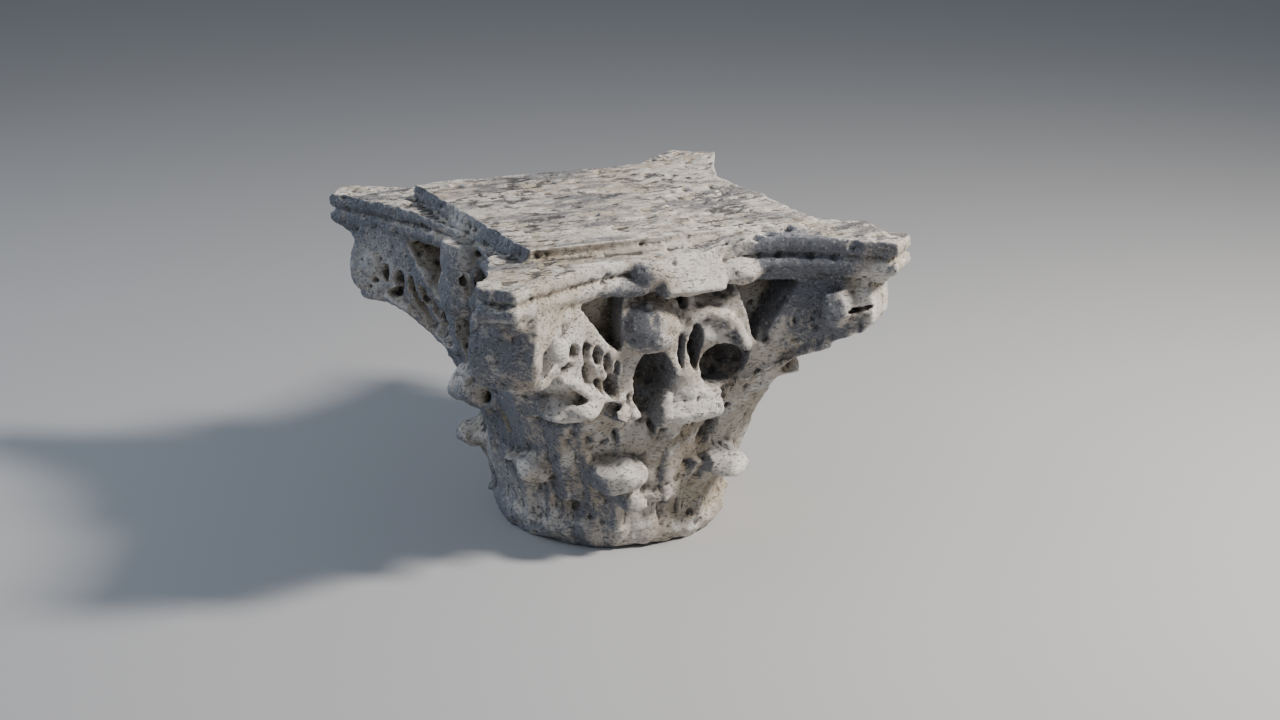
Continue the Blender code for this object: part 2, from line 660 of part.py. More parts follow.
def main():
    for old in list(bpy.data.objects):
        bpy.data.objects.remove(old)
    capital = bpy.data.objects.new("capital", carved_block())
    bpy.context.collection.objects.link(capital)
    capital.data.materials.append(marble())
    thin = capital.modifiers.new("fewer_faces", "DECIMATE")
    thin.ratio = FACES_KEPT
    beds = capital.modifiers.new("flat_beds", "BOOLEAN")
    beds.operation = "INTERSECT"
    beds.solver = "EXACT"
    beds.object = beds_cutter()


main()
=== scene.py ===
"""The looks of a weathered marble Corinthian capital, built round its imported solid.

The carved forms are modelled as overlapping bodies, melted into one block, then worn and pitted.
"""

import math

import bmesh
import bpy
import numpy as np
from mathutils import Matrix, Vector


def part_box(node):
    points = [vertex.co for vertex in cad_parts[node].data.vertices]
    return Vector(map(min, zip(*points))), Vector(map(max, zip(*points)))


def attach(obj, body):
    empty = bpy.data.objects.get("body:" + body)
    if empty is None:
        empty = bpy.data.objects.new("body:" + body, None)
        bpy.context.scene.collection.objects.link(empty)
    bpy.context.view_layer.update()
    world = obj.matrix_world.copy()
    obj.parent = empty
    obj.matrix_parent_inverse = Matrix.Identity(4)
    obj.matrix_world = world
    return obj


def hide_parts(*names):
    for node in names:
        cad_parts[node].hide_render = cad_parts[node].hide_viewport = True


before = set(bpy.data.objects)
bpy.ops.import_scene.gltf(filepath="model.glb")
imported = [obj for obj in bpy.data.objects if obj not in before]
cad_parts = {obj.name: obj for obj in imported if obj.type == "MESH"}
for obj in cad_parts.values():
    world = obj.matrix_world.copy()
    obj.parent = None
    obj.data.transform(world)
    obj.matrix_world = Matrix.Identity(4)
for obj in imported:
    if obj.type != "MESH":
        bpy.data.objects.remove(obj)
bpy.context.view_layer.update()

# Sizes in metres, as the solid has them.
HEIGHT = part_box("capital")[1].z
BED_RISE = 0.027
SHAFT_RADIUS = 0.221
BELL_RADIUS = 0.216
LIP_RADIUS = 0.240
HORN_REACH = 0.592
HORN_WIDTH = 0.100
WAIST_REACH = 0.305
ABACUS_THICKNESS = 0.069
CAVETTO_DEPTH = 0.026
BED_REACH = 0.292
BED_FRONT = 0.276
BED_SPREADS = [0.014, -0.028, 0.0, 0.0]
VOLUTE_REACH = 0.532
VOLUTE_WIDTH = 0.124
WALL_WAIST = 0.288

ABACUS_TOP = HEIGHT - BED_RISE
ABACUS_FOOT = ABACUS_TOP - ABACUS_THICKNESS
SIDES = [-90, 0, 90, 180]
CORNERS = [-135, -45, 45, 135]
LOWER_LEAVES = [-157.5 + 45 * k for k in range(8)]
BROKEN_LEAF = -22.5

# At each corner: the share of the reach that has lasted, the share of the horn's width, and how far
# the horn and the volute stand off the diagonal.
HORN_WEAR = {-135: 0.965, -45: 0.965, 45: 1.0, 135: 0.985}
HORN_SHARE = {-135: 0.72, -45: 1.30, 45: 1.05, 135: 0.90}
HORN_SHIFT = {-135: -0.004, -45: 0.0, 45: 0.024, 135: -0.004}
VOLUTE_SHIFT = {-135: -0.013, -45: 0.0, 45: 0.0, 135: 0.0}

# The carving is given in shares of this height.
H = ABACUS_TOP

# Working sizes of the fine mesh.
VOXEL = 0.0035
CUTTER_VOXEL = 0.0022
TRIANGLES = 190000
SEED = 7

# How finely the rough bodies are cut before they are melted together.
PLAN_STEPS = 24
LEAF_RISES = 10
LEAF_STEPS = 24
TUBE_SIDES = 12

# The wall of volutes and sheaths: height, reach at the corners and at the middles, as shares of
# the height, of the volutes' reach and of the wall's waist.
WALL = [
    (0.26, 0.44, 0.84), (0.34, 0.49, 0.87), (0.42, 0.545, 0.90), (0.50, 0.615, 0.93),
    (0.56, 0.655, 0.96), (0.61, 0.71, 0.99), (0.66, 0.79, 1.0), (0.695, 0.88, 1.0),
    (0.72, 0.955, 1.0), (0.76, 1.0, 1.0), (0.84, 0.99, 0.98), (0.90, 0.955, 0.95),
]


def smooth_through(points, steps):
    """Catmull-Rom curve through 2-D points, ends included."""
    pts = [Vector(p) for p in points]
    ends = [2 * pts[0] - pts[1], *pts, 2 * pts[-1] - pts[-2]]
    curve = []
    for a, b, c, d in zip(ends, ends[1:], ends[2:], ends[3:]):
        for k in range(steps):
            t = k / steps
            curve.append(
                0.5 * (2 * b + (c - a) * t + (2 * a - 5 * b + 4 * c - d) * t * t
                       + (3 * b - a - 3 * c + d) * t ** 3)
            )
    return curve + [pts[-1]]


def at(angle, radius, z, across=0.0):
    """World point at a radius and height in the upright plane at an angle, stepped sideways by across."""
    turn = math.radians(angle)
    out = Vector((math.cos(turn), math.sin(turn), 0))
    side = Vector((-math.sin(turn), math.cos(turn), 0))
    return out * radius + side * across + Vector((0, 0, z))


def loft(block, rings):
    """Adds to block a closed body through rings of equally many points."""
    rows = [[block.verts.new(p) for p in ring] for ring in rings]
    faces = []
    for near, far in zip(rows, rows[1:]):
        for i in range(len(near)):
            j = (i + 1) % len(near)
            faces.append(block.faces.new((near[i], near[j], far[j], far[i])))
    caps = [block.faces.new(rows[0][::-1]), block.faces.new(rows[-1])]
    bmesh.ops.recalc_face_normals(block, faces=faces + caps)
    bmesh.ops.triangulate(block, faces=caps, ngon_method="EAR_CLIP")


def settle(block, verts, centre, radii, angle, tilt, lean):
    """Scales a unit body out, across and up, leans it sideways, tips it outward and turns it about Z."""
    place = (
        Matrix.Translation(Vector(centre))
        @ Matrix.Rotation(math.radians(angle), 4, "Z")
        @ Matrix.Rotation(math.radians(tilt), 4, "Y")
        @ Matrix.Rotation(math.radians(lean), 4, "X")
        @ Matrix.Diagonal((*radii, 1.0))
    )
    bmesh.ops.transform(block, matrix=place, verts=verts)


def lump(block, centre, radii, angle=0.0, tilt=0.0, lean=0.0):
    """An egg-shaped body."""
    made = bmesh.ops.create_icosphere(block, subdivisions=3, radius=1.0)["verts"]
    settle(block, made, centre, radii, angle, tilt, lean)


# The ways a chunk's flat broken faces look, how far from its middle they lie, how far they swing from
# one chunk to the next, and how square a chunk is.
FACETS = [
    (1.0, 0.2, 0.5), (0.5, -0.9, 0.4), (0.1, 0.8, 0.6), (0.8, 0.5, -0.4), (-0.2, 0.1, 1.0), (0.7, -0.3, -0.7),
]
FACET_REACH = 0.80
FACET_SWING = 0.35
SQUARENESS = 2.8


def chunk(block, centre, radii, angle=0.0, tilt=0.0, lean=0.0):
    """A broken block of stone, cut by flat faces that differ with its angle."""
    made = bmesh.ops.create_icosphere(block, subdivisions=4, radius=1.0)["verts"]
    swing = Matrix.Rotation(FACET_SWING * math.sin(angle), 3, "X")
    faces = [swing @ Vector(f).normalized() for f in FACETS]
    for vert in made:
        vert.co /= sum(abs(c) ** SQUARENESS for c in vert.co) ** (1 / SQUARENESS)
        for face in faces:
            vert.co -= face * max(0.0, vert.co.dot(face) - FACET_REACH)
    settle(block, made, centre, radii, angle, tilt, lean)


def bell_profile():
    """(radius, height) points up the bell, from the foot to above the abacus's underside."""
    return smooth_through([
        (SHAFT_RADIUS - 0.008, 0.0005),
        (SHAFT_RADIUS, 0.010),
        (SHAFT_RADIUS + 0.009, 0.05 * H),
        (SHAFT_RADIUS + 0.002, 0.09 * H),
        (BELL_RADIUS, 0.12 * H),
        (BELL_RADIUS, 0.50 * H),
        (0.5 * (BELL_RADIUS + LIP_RADIUS), 0.72 * H),
        (LIP_RADIUS, ABACUS_FOOT - 0.02),
        (LIP_RADIUS, ABACUS_FOOT + 0.02),
    ], 6)


BELL = bell_profile()


def bell_radius(z):
    """Radius of the bell at a height."""
    for low, high in zip(BELL, BELL[1:]):
        if low.y <= z <= high.y:
            share = (z - low.y) / max(high.y - low.y, 1e-9)
            return low.x + (high.x - low.x) * share
    return BELL[0].x if z < BELL[0].y else BELL[-1].x


def add_bell(block):
    """The round foot and bell."""
    loft(block, [[at(a, p.x, p.y) for a in range(0, 360, 4)] for p in BELL])


def hollow_plan(reaches, waist, halves, shifts):
    """A plan with four hollow sides between blunt corners, anticlockwise from the first corner."""
    points = []
    for corner in CORNERS:
        after = CORNERS[(CORNERS.index(corner) + 1) % 4]
        start = at(corner, reaches[corner], 0, shifts[corner] + halves[corner])
        end = at(after, reaches[after], 0, shifts[after] - halves[after])
        bend = 2 * at(corner + 45, waist, 0) - (start + end) / 2
        for k in range(PLAN_STEPS + 1):
            t = k / PLAN_STEPS
            points.append(start * (1 - t) ** 2 + bend * 2 * t * (1 - t) + end * t * t)
    return points


def wall_reaches(z):
    """The wall's reach at the corners and at the middles, in metres, at a share of the height."""
    for (low, corner, middle), (high, next_corner, next_middle) in zip(WALL, WALL[1:]):
        if z <= high:
            t = max(0.0, (z - low) / (high - low))
            corner += (next_corner - corner) * t
            middle += (next_middle - middle) * t
            break
    else:
        corner, middle = next_corner, next_middle
    return VOLUTE_REACH * corner, WALL_WAIST * middle


def wall_out(across, z):
    """How far the wall stands from the axis at a step across a side and a height, in shares."""
    corner, middle = wall_reaches(z)
    half = VOLUTE_WIDTH / 2
    corner_across = (corner - half) * math.sqrt(0.5) / H
    corner_out = (corner + half) * math.sqrt(0.5) / H
    share = min(1.1, abs(across) / corner_across)
    return middle / H + (corner_out - middle / H) * share ** 2


def add_wall(block):
    """The hollow-sided wall that volutes, sheaths and helices are carved from."""
    rings = []
    for z, corner, middle in WALL:
        reaches = {a: VOLUTE_REACH * corner for a in CORNERS}
        halves = {a: VOLUTE_WIDTH / 2 * min(1.0, 0.80 + 0.5 * (z - 0.26)) for a in CORNERS}
        plan = hollow_plan(reaches, WALL_WAIST * middle, halves, VOLUTE_SHIFT)
        rings.append([p + Vector((0, 0, z * H)) for p in plan])
    loft(block, rings)


# A leaf's shape, where reaches are shares of the height: how far its crown drops at the edges, its
# middle rib, how wide its curl is, its furrows, how much closer its edges lie, and what is buried.
CROWN_DROP = 0.24
RIB_HEIGHT = 0.020
RIB_WIDTH = 0.10
CURL_WIDTH = 0.50
FURROWS = 3
FURROW_CUT = 0.20
EDGE_SINK = 0.6
LEAF_BURIED = 0.06


def leaf(block, angle, foot, crown, stand, half_angle, curl=0.045):
    """One acanthus blade between two heights, standing off the bell by stand at its foot and crown.

    Its middle curls out by curl more at the crown.
    """
    buried = LEAF_BURIED * H
    sections = []
    for k in range(-LEAF_STEPS, LEAF_STEPS + 1):
        v = k / LEAF_STEPS
        drop = 1 - CROWN_DROP * abs(v) ** 2.4
        furrow = 1 - FURROW_CUT * (1 - abs(math.sin(math.pi * FURROWS * v)) ** 0.8)
        rib = RIB_HEIGHT * math.exp(-((v / RIB_WIDTH) ** 2))
        ring = []
        flare = curl * math.exp(-((v / CURL_WIDTH) ** 2))
        for i in range(LEAF_RISES + 1):
            t = i / LEAF_RISES
            z = foot + (crown - foot) * t * drop
            off = stand[0] + (stand[1] - stand[0]) * t + flare * t ** 3
            ring.append((bell_radius(z) + (off * (1 - EDGE_SINK * abs(v) ** 3) * furrow + rib) * H, z))
        top = ring[-1][1]
        ring += [(bell_radius(top) - buried, top + 0.02 * H), (bell_radius(foot) - buried, foot)]
        sections.append([at(angle + v * half_angle, r, z) for r, z in ring])
    loft(block, sections)


def add_leaves(block):
    """A ring of lower leaves, and upper ones on the sides' middles and under the corners."""
    for angle in LOWER_LEAVES:
        broken = angle == BROKEN_LEAF
        stand = (0.008, 0.0 if broken else 0.058)
        leaf(block, angle, 0.07 * H, 0.295 * H, stand, 21, 0.045 if broken else 0.080)
    for angle in SIDES:
        leaf(block, angle, 0.16 * H, 0.50 * H, (0.040, 0.095), 16)
    for angle in CORNERS:
        leaf(block, angle, 0.16 * H, 0.54 * H, (0.040, 0.165), 19)


SLAB_EDGE = 0.008


def slab(block, angle, outline, half_width, across=0.0):
    """A body with an upright outline in the plane at an angle, half_width to each side of across.

    Its edges are cut off by SLAB_EDGE.
    """
    rings = []
    centre = sum((Vector(p) for p in outline), Vector((0, 0))) / len(outline)
    for level, shrink in ((-1.0, SLAB_EDGE), (-0.88, 0.0), (0.88, 0.0), (1.0, SLAB_EDGE)):
        ring = []
        for p in outline:
            q = Vector(p) + (centre - Vector(p)).normalized() * shrink
            ring.append(at(angle, q.x, q.y, across + level * half_width))
        rings.append(ring)
    loft(block, rings)


def tube(block, points):
    """A round stalk through (point, radius) pairs."""
    rings = []
    for i, (point, radius) in enumerate(points):
        before = points[max(i - 1, 0)][0]
        after = points[min(i + 1, len(points) - 1)][0]
        along = (after - before).normalized()
        side = along.cross(Vector((0, 0, 1)))
        side = side.normalized() if side.length > 1e-3 else Vector((1, 0, 0))
        up = side.cross(along)
        rings.append([
            point + (side * math.cos(t) + up * math.sin(t)) * radius
            for t in (2 * math.pi * k / TUBE_SIDES for k in range(TUBE_SIDES))
        ])
    loft(block, rings)


def on_wall(angle, across, z, proud=0.0):
    """A point on the wall's face on a side; across, z and proud are shares of the height."""
    return at(angle, (wall_out(across, z) + proud) * H, z * H, across * H)


def wall_turn(angle, across, z):
    """The way the wall faces at a step across a side, in degrees about Z."""
    slope = (wall_out(across + 0.01, z) - wall_out(across - 0.01, z)) / 0.02
    return angle - math.degrees(math.atan(slope))


def shares(values):
    """Metres from shares of the height."""
    return [v * H for v in values]


# The angle, reach, height and radius of each scroll; lengths here and below are shares of the height.
SCROLLS = [
    (-135, 0.775, 0.768, 0.110), (-45, 0.785, 0.805, 0.092),
    (45, 0.780, 0.765, 0.115), (135, 0.778, 0.765, 0.112),
]


# The eye on a volute's side: its step across, how far above the scroll's middle it lies, how far it
# stands off the wall, and its half sizes.
EYE_ACROSS = 0.480
EYE_RISE = 0.02
EYE_PROUD = 0.004
EYE = (0.024, 0.040, 0.040)


def add_scrolls(block):
    """The volutes' rolled ends under the horns, with eyes on their sides where these have lasted."""
    for angle, reach, z, radius in SCROLLS:
        disc = [
            ((reach + radius * math.cos(math.radians(a))) * H, (z + radius * math.sin(math.radians(a))) * H)
            for a in range(0, 360, 15)
        ]
        slab(block, angle, disc, VOLUTE_WIDTH / 2 * 1.02, across=VOLUTE_SHIFT[angle])
        if angle == -45:
            continue
        for hand in (-1, 1):
            side, across = angle - 45 * hand, EYE_ACROSS * hand
            centre = on_wall(side, across, z + EYE_RISE, EYE_PROUD)
            lump(block, centre, shares(EYE), wall_turn(side, across, z))


def add_helices(block):
    """The two small scrolls that meet on each side's middle, the right one's ridge and the stem below."""
    for angle in SIDES:
        lump(block, on_wall(angle, -0.105, 0.770, 0.0), shares((0.062, 0.100, 0.085)), angle, 0, -25)
        lump(block, on_wall(angle, -0.088, 0.738, 0.035), shares((0.036, 0.048, 0.036)), angle)
        ridge = [(0.024, 0.775, 0.018), (0.085, 0.800, 0.024), (0.149, 0.768, 0.026), (0.217, 0.673, 0.024)]
        tube(block, [(on_wall(angle, x, z, 0.012), r * H) for x, z, r in ridge])
        lump(block, on_wall(angle, 0.115, 0.740, -0.028), shares((0.050, 0.110, 0.065)), angle, 0, 20)
        stem = [(0.03, 0.44, 0.10), (0.03, 0.54, 0.082), (0.028, 0.62, 0.062), (0.026, 0.74, 0.050),
                (0.02, 0.86, 0.050)]
        tube(block, [(on_wall(angle, x, z, -0.03), r * H) for x, z, r in stem])


# Step across, height and radius along a volute's lower edge.
LOWER_EDGE = [
    (0.455, 0.684, 0.016), (0.400, 0.656, 0.018), (0.330, 0.600, 0.018), (0.250, 0.562, 0.017),
    (0.175, 0.545, 0.015),
]


def add_lower_edges(block):
    """The rounded ridge along the lower edge of each volute's side."""
    for angle in SIDES:
        for hand in (-1, 1):
            tube(block, [(on_wall(angle, hand * x, z, 0.004), r * H) for x, z, r in LOWER_EDGE])


# Angle, width and height of each lift of the rim.
LIFTS = [(-60, 16, 0.034), (45, 12, 0.022)]


def raised(p):
    """How much higher the abacus's rim stands at a point: near two of its horns it climbs to the bed."""
    turn = math.degrees(math.atan2(p.y, p.x))
    return sum(lift * H * math.exp(-((turn - angle) / width) ** 2) for angle, width, lift in LIFTS)


# Where the bed slopes down to a horn: angle, radius, step across, half sizes out, across and up.
RAMPS = [
    (-45, 0.700, 0.030, 0.250, 0.130, 0.042), (45, 0.760, 0.045, 0.230, 0.085, 0.022),
]


def add_abacus(block):
    """Fascia, fillet and cavetto, from the top down, and the raised bed on top."""
    profile = [
        (0.008, 0.0), (0.001, 0.05), (0.0, 0.16), (0.001, 0.36), (0.013, 0.41), (0.014, 0.50),
        (0.003, 0.55), (0.0, 0.66), (0.002, 0.78), (0.40 * CAVETTO_DEPTH, 0.90), (CAVETTO_DEPTH, 1.0),
        (CAVETTO_DEPTH, 1.10),
    ]
    rings = []
    for inset, share in profile:
        z = ABACUS_TOP - ABACUS_THICKNESS * share
        reaches = {a: HORN_REACH * HORN_WEAR[a] - inset for a in CORNERS}
        halves = {a: HORN_WIDTH / 2 * HORN_SHARE[a] - 0.4 * inset for a in CORNERS}
        plan = hollow_plan(reaches, WAIST_REACH - inset, halves, HORN_SHIFT)
        rings.append([p + Vector((0, 0, z + (1 - 0.6 * share) * raised(p))) for p in plan])
    loft(block, rings)
    bed = [
        (-BED_REACH, -BED_FRONT), (BED_REACH, -BED_FRONT), (BED_REACH, BED_REACH), (-BED_REACH, BED_REACH),
    ]
    loft(block, [
        [Vector((x * 1.02, y * 1.05, ABACUS_TOP - 0.04)) for x, y in bed],
        [Vector((x * 1.01, y + spread, ABACUS_TOP)) for (x, y), spread in zip(bed, BED_SPREADS)],
        [Vector((x, y, HEIGHT - 0.001)) for x, y in bed],
    ])
    for angle, radius, across, out, wide, high in RAMPS:
        chunk(block, at(angle, radius * H, H, across * H), shares((out, wide, high)), angle)


# The lumps beside the broken flower: radius, height and step across, then half sizes.
STUB_SIDES = [
    (0.515, 0.920, 0.175, 0.050, 0.085, 0.045), (0.500, 0.908, -0.190, 0.038, 0.120, 0.034),
    (0.510, 0.950, -0.120, 0.045, 0.070, 0.050),
]


def add_fleurons(block):
    """The flower on each side's middle: broken to a sloping face in front, a worn egg elsewhere."""
    stub = [(0.42, 0.872), (0.530, 0.864), (0.574, 0.888), (0.518, 0.997), (0.42, 1.002)]
    slab(block, -90, [shares(corner) for corner in stub], 0.105 * H, across=0.010 * H)
    for radius, z, across, out, wide, high in STUB_SIDES:
        lump(block, at(-90, radius * H, z * H, across * H), shares((out, wide, high)), -90)
    for angle in SIDES[1:]:
        lump(block, at(angle, 0.540 * H, 0.925 * H, 0.04 * H), shares((0.060, 0.078, 0.098)), angle, 0, 10)


# Angle, radius, height and step across, then the half sizes out, across and up, tilt and lean.
CHUNKS = [
    (-112.0, 0.452, 0.272, 0.00, 0.060, 0.090, 0.056, 38, 6),
    (-108.0, 0.430, 0.178, 0.02, 0.036, 0.046, 0.036, 20, 0),
    (-61.0, 0.466, 0.268, -0.01, 0.068, 0.098, 0.044, 26, -8),
    (-149.0, 0.450, 0.274, 0.00, 0.055, 0.062, 0.056, 20, 0),
    (157.5, 0.455, 0.270, 0.00, 0.062, 0.060, 0.048, 20, 0),
    (112.5, 0.450, 0.262, 0.00, 0.062, 0.074, 0.046, 25, 6),
    (67.5, 0.450, 0.262, 0.00, 0.062, 0.074, 0.046, 20, -8),
    (22.5, 0.450, 0.262, 0.00, 0.062, 0.074, 0.046, 30, 4),
    (-134, 0.590, 0.545, 0.062, 0.085, 0.108, 0.040, 20, 3),
    (-111, 0.505, 0.500, 0.00, 0.046, 0.056, 0.026, 20, -6),
    (-45, 0.560, 0.565, 0.00, 0.085, 0.100, 0.036, 8, 0),
    (45, 0.560, 0.550, 0.00, 0.085, 0.110, 0.040, 20, 6),
    (135, 0.520, 0.490, 0.00, 0.058, 0.100, 0.040, 20, 0),
    (180, 0.495, 0.492, 0.00, 0.075, 0.085, 0.066, 25, 0),
    (0, 0.490, 0.480, 0.00, 0.070, 0.100, 0.058, 30, 6),
    (90, 0.490, 0.480, 0.00, 0.070, 0.100, 0.058, 25, -6),
    (-135, 0.840, 0.855, -0.01, 0.060, 0.068, 0.045, 0, 0),
    (135, 0.860, 0.860, 0.00, 0.060, 0.080, 0.040, 0, 0),
    (135, 0.830, 0.668, 0.00, 0.055, 0.098, 0.024, 0, 0),
    (-135, 0.800, 0.672, -0.02, 0.060, 0.100, 0.022, 0, 0),
    (-45, 0.830, 0.735, 0.00, 0.045, 0.104, 0.020, 0, 0),
    (-80, 0.712, 0.808, 0.385, 0.042, 0.100, 0.070, 0, 0),
]


def add_chunks(block):
    """Broken leaf tips and worn ends of horns and volutes."""
    for angle, radius, z, across, out, wide, high, tilt, lean in CHUNKS:
        chunk(block, at(angle, radius * H, z * H, across * H), shares((out, wide, high)), angle, tilt, lean)


def add_front_break(block):
    """The front middle leaf's tip, snapped off along the stone's level beds."""
    edge = [
        (0.38, 0.43), (0.475, 0.445), (0.510, 0.460), (0.514, 0.478), (0.507, 0.484), (0.510, 0.500),
        (0.500, 0.508), (0.503, 0.524), (0.492, 0.532), (0.486, 0.548), (0.462, 0.562), (0.38, 0.60),
    ]
    slab(block, -90, [(r * H, z * H) for r, z in edge], 0.108 * H, across=0.042 * H)


def cut_between(block, angle, corners, near, far):
    """A cutter with an outline in (across, height) shares, running outward between two reaches."""
    rings = [[at(angle, reach * H, z * H, x * H) for x, z in corners] for reach in (near, far)]
    loft(block, rings)


# Under the right helix's top, above the stem, the left cavity and its foot, the right cavity, and
# the two flutes of the stem: step across, height, step off the wall, then half sizes.
HOLLOWS = [
    (0.105, 0.865, 0.030, 0.060, 0.085, 0.040), (0.010, 0.838, 0.000, 0.090, 0.015, 0.032),
    (-0.088, 0.606, -0.010, 0.150, 0.064, 0.090), (-0.100, 0.520, -0.010, 0.090, 0.040, 0.080),
    (0.150, 0.618, -0.010, 0.140, 0.082, 0.066), (0.006, 0.678, 0.010, 0.050, 0.010, 0.064),
    (0.049, 0.688, 0.010, 0.075, 0.021, 0.078),
]


def cut_hollows(block):
    """The dark hollows under the abacus and the deep holes either side of each stem."""
    for angle in SIDES:
        cut_between(block, angle, [
            (-0.375, 0.885), (-0.340, 0.84), (-0.262, 0.745), (-0.205, 0.705), (-0.215, 0.80),
            (-0.200, 0.885),
        ], 0.42, 0.70)
        cut_between(block, angle, [
            (0.375, 0.885), (0.340, 0.84), (0.275, 0.73), (0.247, 0.680), (0.205, 0.790), (0.185, 0.885),
        ], 0.43, 0.70)
        for x, z, proud, out, wide, high in HOLLOWS:
            lump(block, on_wall(angle, x, z, proud), shares((out, wide, high)), angle)


# Step across, height, half width and half height of each drill hole on a volute's side, and its lean.
DRILLED = [
    (0.434, 0.762, 0.012, 0.034, 0), (0.388, 0.746, 0.024, 0.034, 10), (0.338, 0.736, 0.015, 0.040, 14),
    (0.290, 0.712, 0.016, 0.044, 20), (0.250, 0.674, 0.015, 0.046, 20), (0.214, 0.654, 0.011, 0.028, 10),
    (0.312, 0.646, 0.022, 0.070, 32), (0.226, 0.594, 0.024, 0.048, 20), (0.474, 0.730, 0.014, 0.012, 0),
    (0.500, 0.706, 0.010, 0.010, 0), (0.410, 0.700, 0.034, 0.018, 15), (0.266, 0.602, 0.013, 0.038, 26),
]


# The same for the few slits on the front's right half and stem; lean is to the left.
FRONT_SLITS = [
    (0.399, 0.772, 0.007, 0.024, -20), (0.349, 0.757, 0.008, 0.016, 0), (0.266, 0.712, 0.009, 0.034, 10),
    (0.218, 0.648, 0.012, 0.012, 0), (0.167, 0.444, 0.016, 0.022, 0), (0.200, 0.463, 0.014, 0.009, 0),
    (0.036, 0.587, 0.008, 0.007, 0), (0.0, 0.935, 0.007, 0.007, 0), (0.510, 0.800, 0.130, 0.008, 8),
]


# Angle, height, half width and half height of the deep holes between the leaves, and their lean.
HOLES = [
    (-89.5, 0.216, 0.024, 0.013, 40), (-86.1, 0.166, 0.028, 0.013, 25), (-84.5, 0.244, 0.014, 0.028, -20),
    (-80.2, 0.276, 0.022, 0.028, -10), (-76.3, 0.199, 0.012, 0.040, -15), (-71.8, 0.374, 0.032, 0.058, -25),
    (-131.9, 0.385, 0.008, 0.050, 0), (-124.4, 0.391, 0.008, 0.044, 5), (-114.0, 0.395, 0.008, 0.046, 10),
    (-99.0, 0.425, 0.010, 0.050, 12), (-132.8, 0.091, 0.007, 0.020, 10), (-119.9, 0.092, 0.008, 0.012, 0),
    (-100.7, 0.108, 0.011, 0.010, 0), (-137.0, 0.140, 0.018, 0.007, 20), (-165.0, 0.390, 0.014, 0.050, 10),
    (-170.0, 0.470, 0.018, 0.022, 0),
]


def cut_drill_holes(block):
    """Drill holes and finger slots along each volute's side, and round the worn leaves."""
    for angle in SIDES:
        for hand in (-1, 1):
            if hand > 0 and angle == -90:
                continue
            for x, z, wide, high, lean in DRILLED:
                lump(block, on_wall(angle, hand * x, z), shares((0.045, wide, high)),
                     wall_turn(angle, hand * x, z), 0, -hand * lean)
    for x, z, wide, high, lean in FRONT_SLITS:
        lump(block, on_wall(-90, x, z), shares((0.045, wide, high)), wall_turn(-90, x, z), 0, lean)
    for angle, z, wide, high, lean in HOLES:
        lump(block, at(angle, 0.450 * H, z * H), shares((0.055, wide, high)), angle, 0, lean)


# Step across, height and radius along the undercuts, left and right.
UNDERCUT = [
    (0.560, 0.664, 0.016), (0.470, 0.640, 0.018), (0.400, 0.612, 0.020), (0.320, 0.558, 0.022),
    (0.240, 0.516, 0.020), (0.180, 0.505, 0.014),
]
UNDERCUT_RIGHT = [
    (0.430, 0.660, 0.012), (0.400, 0.636, 0.020), (0.330, 0.596, 0.018), (0.250, 0.556, 0.013),
    (0.180, 0.545, 0.010),
]


def cut_undercuts(block):
    """The shadowed gap under each volute's lower edge, above the corner leaf's tip."""
    for angle in SIDES:
        for hand in (-1, 1):
            path = UNDERCUT if hand < 0 else UNDERCUT_RIGHT
            tube(block, [(on_wall(angle, hand * x, z, 0.006), r * H) for x, z, r in path])


# Shadowed hollows right under the leaf tips: angle, radius, height and half width.
UNDERSIDES = [
    (-120.0, 0.462, 0.205, 0.036), (-98.0, 0.462, 0.215, 0.024), (-61.0, 0.472, 0.205, 0.080),
    (-149.0, 0.462, 0.208, 0.050), (-135.0, 0.535, 0.462, 0.120), (-86.0, 0.500, 0.425, 0.095),
    (-112.0, 0.520, 0.446, 0.050), (180.0, 0.500, 0.405, 0.070), (157.5, 0.470, 0.205, 0.050),
]


# The chip in the front rim, two scoops in the bed, the chip by the near horn, the worn hollow in its
# volute's end and the right horn's lost corner: centre and half sizes in shares, and turn.
CHIPS = [
    ((0.225, -0.540, 1.035), (0.020, 0.035, 0.022), 20), ((0.130, 0.120, 1.051), (0.170, 0.030, 0.020), -12),
    ((0.300, -0.040, 1.049), (0.110, 0.030, 0.014), 6),
    ((-0.737, -0.578, 0.900), (0.050, 0.030, 0.040), -135),
    ((-0.675, -0.626, 0.765), (0.045, 0.062, 0.085), -135),
    ((0.813, -0.629, 1.030), (0.100, 0.100, 0.100), 0),
]


def cut_breaks(block):
    """What broke away: the abacus's top by the left side, the stone under the leaf tips, and chips."""
    cut_between(block, 180, [
        (-0.40, 1.08), (-0.36, 0.998), (-0.20, 0.985), (0.10, 0.975), (0.33, 0.985), (0.38, 1.08),
    ], 0.500, 0.72)
    for angle, radius, z, wide in UNDERSIDES:
        lump(block, at(angle, radius * H, z * H), shares((0.045, wide, 0.018)), angle, 12)
    for centre, radii, turn in CHIPS:
        lump(block, shares(centre), shares(radii), turn)


def carved(*steps):
    """All the bodies that the steps add, in one mesh, overlapping where they meet."""
    block = bmesh.new()
    for add in steps:
        add(block)
    mesh = bpy.data.meshes.new("rough")
    block.to_mesh(mesh)
    block.free()
    return mesh


def evaluated(mesh, kind, **settings):
    """The mesh after one modifier."""
    holder = bpy.data.objects.new("holder", mesh)
    bpy.context.collection.objects.link(holder)
    modifier = holder.modifiers.new("step", kind)
    for name, value in settings.items():
        setattr(modifier, name, value)
    graph = bpy.context.evaluated_depsgraph_get()
    made = bpy.data.meshes.new_from_object(holder.evaluated_get(graph))
    bpy.data.objects.remove(holder)
    return made


def points_of(mesh):
    """The points as rows of an array."""
    co = np.empty(len(mesh.vertices) * 3, np.float32)
    mesh.vertices.foreach_get("co", co)
    return co.reshape(-1, 3).astype(float)


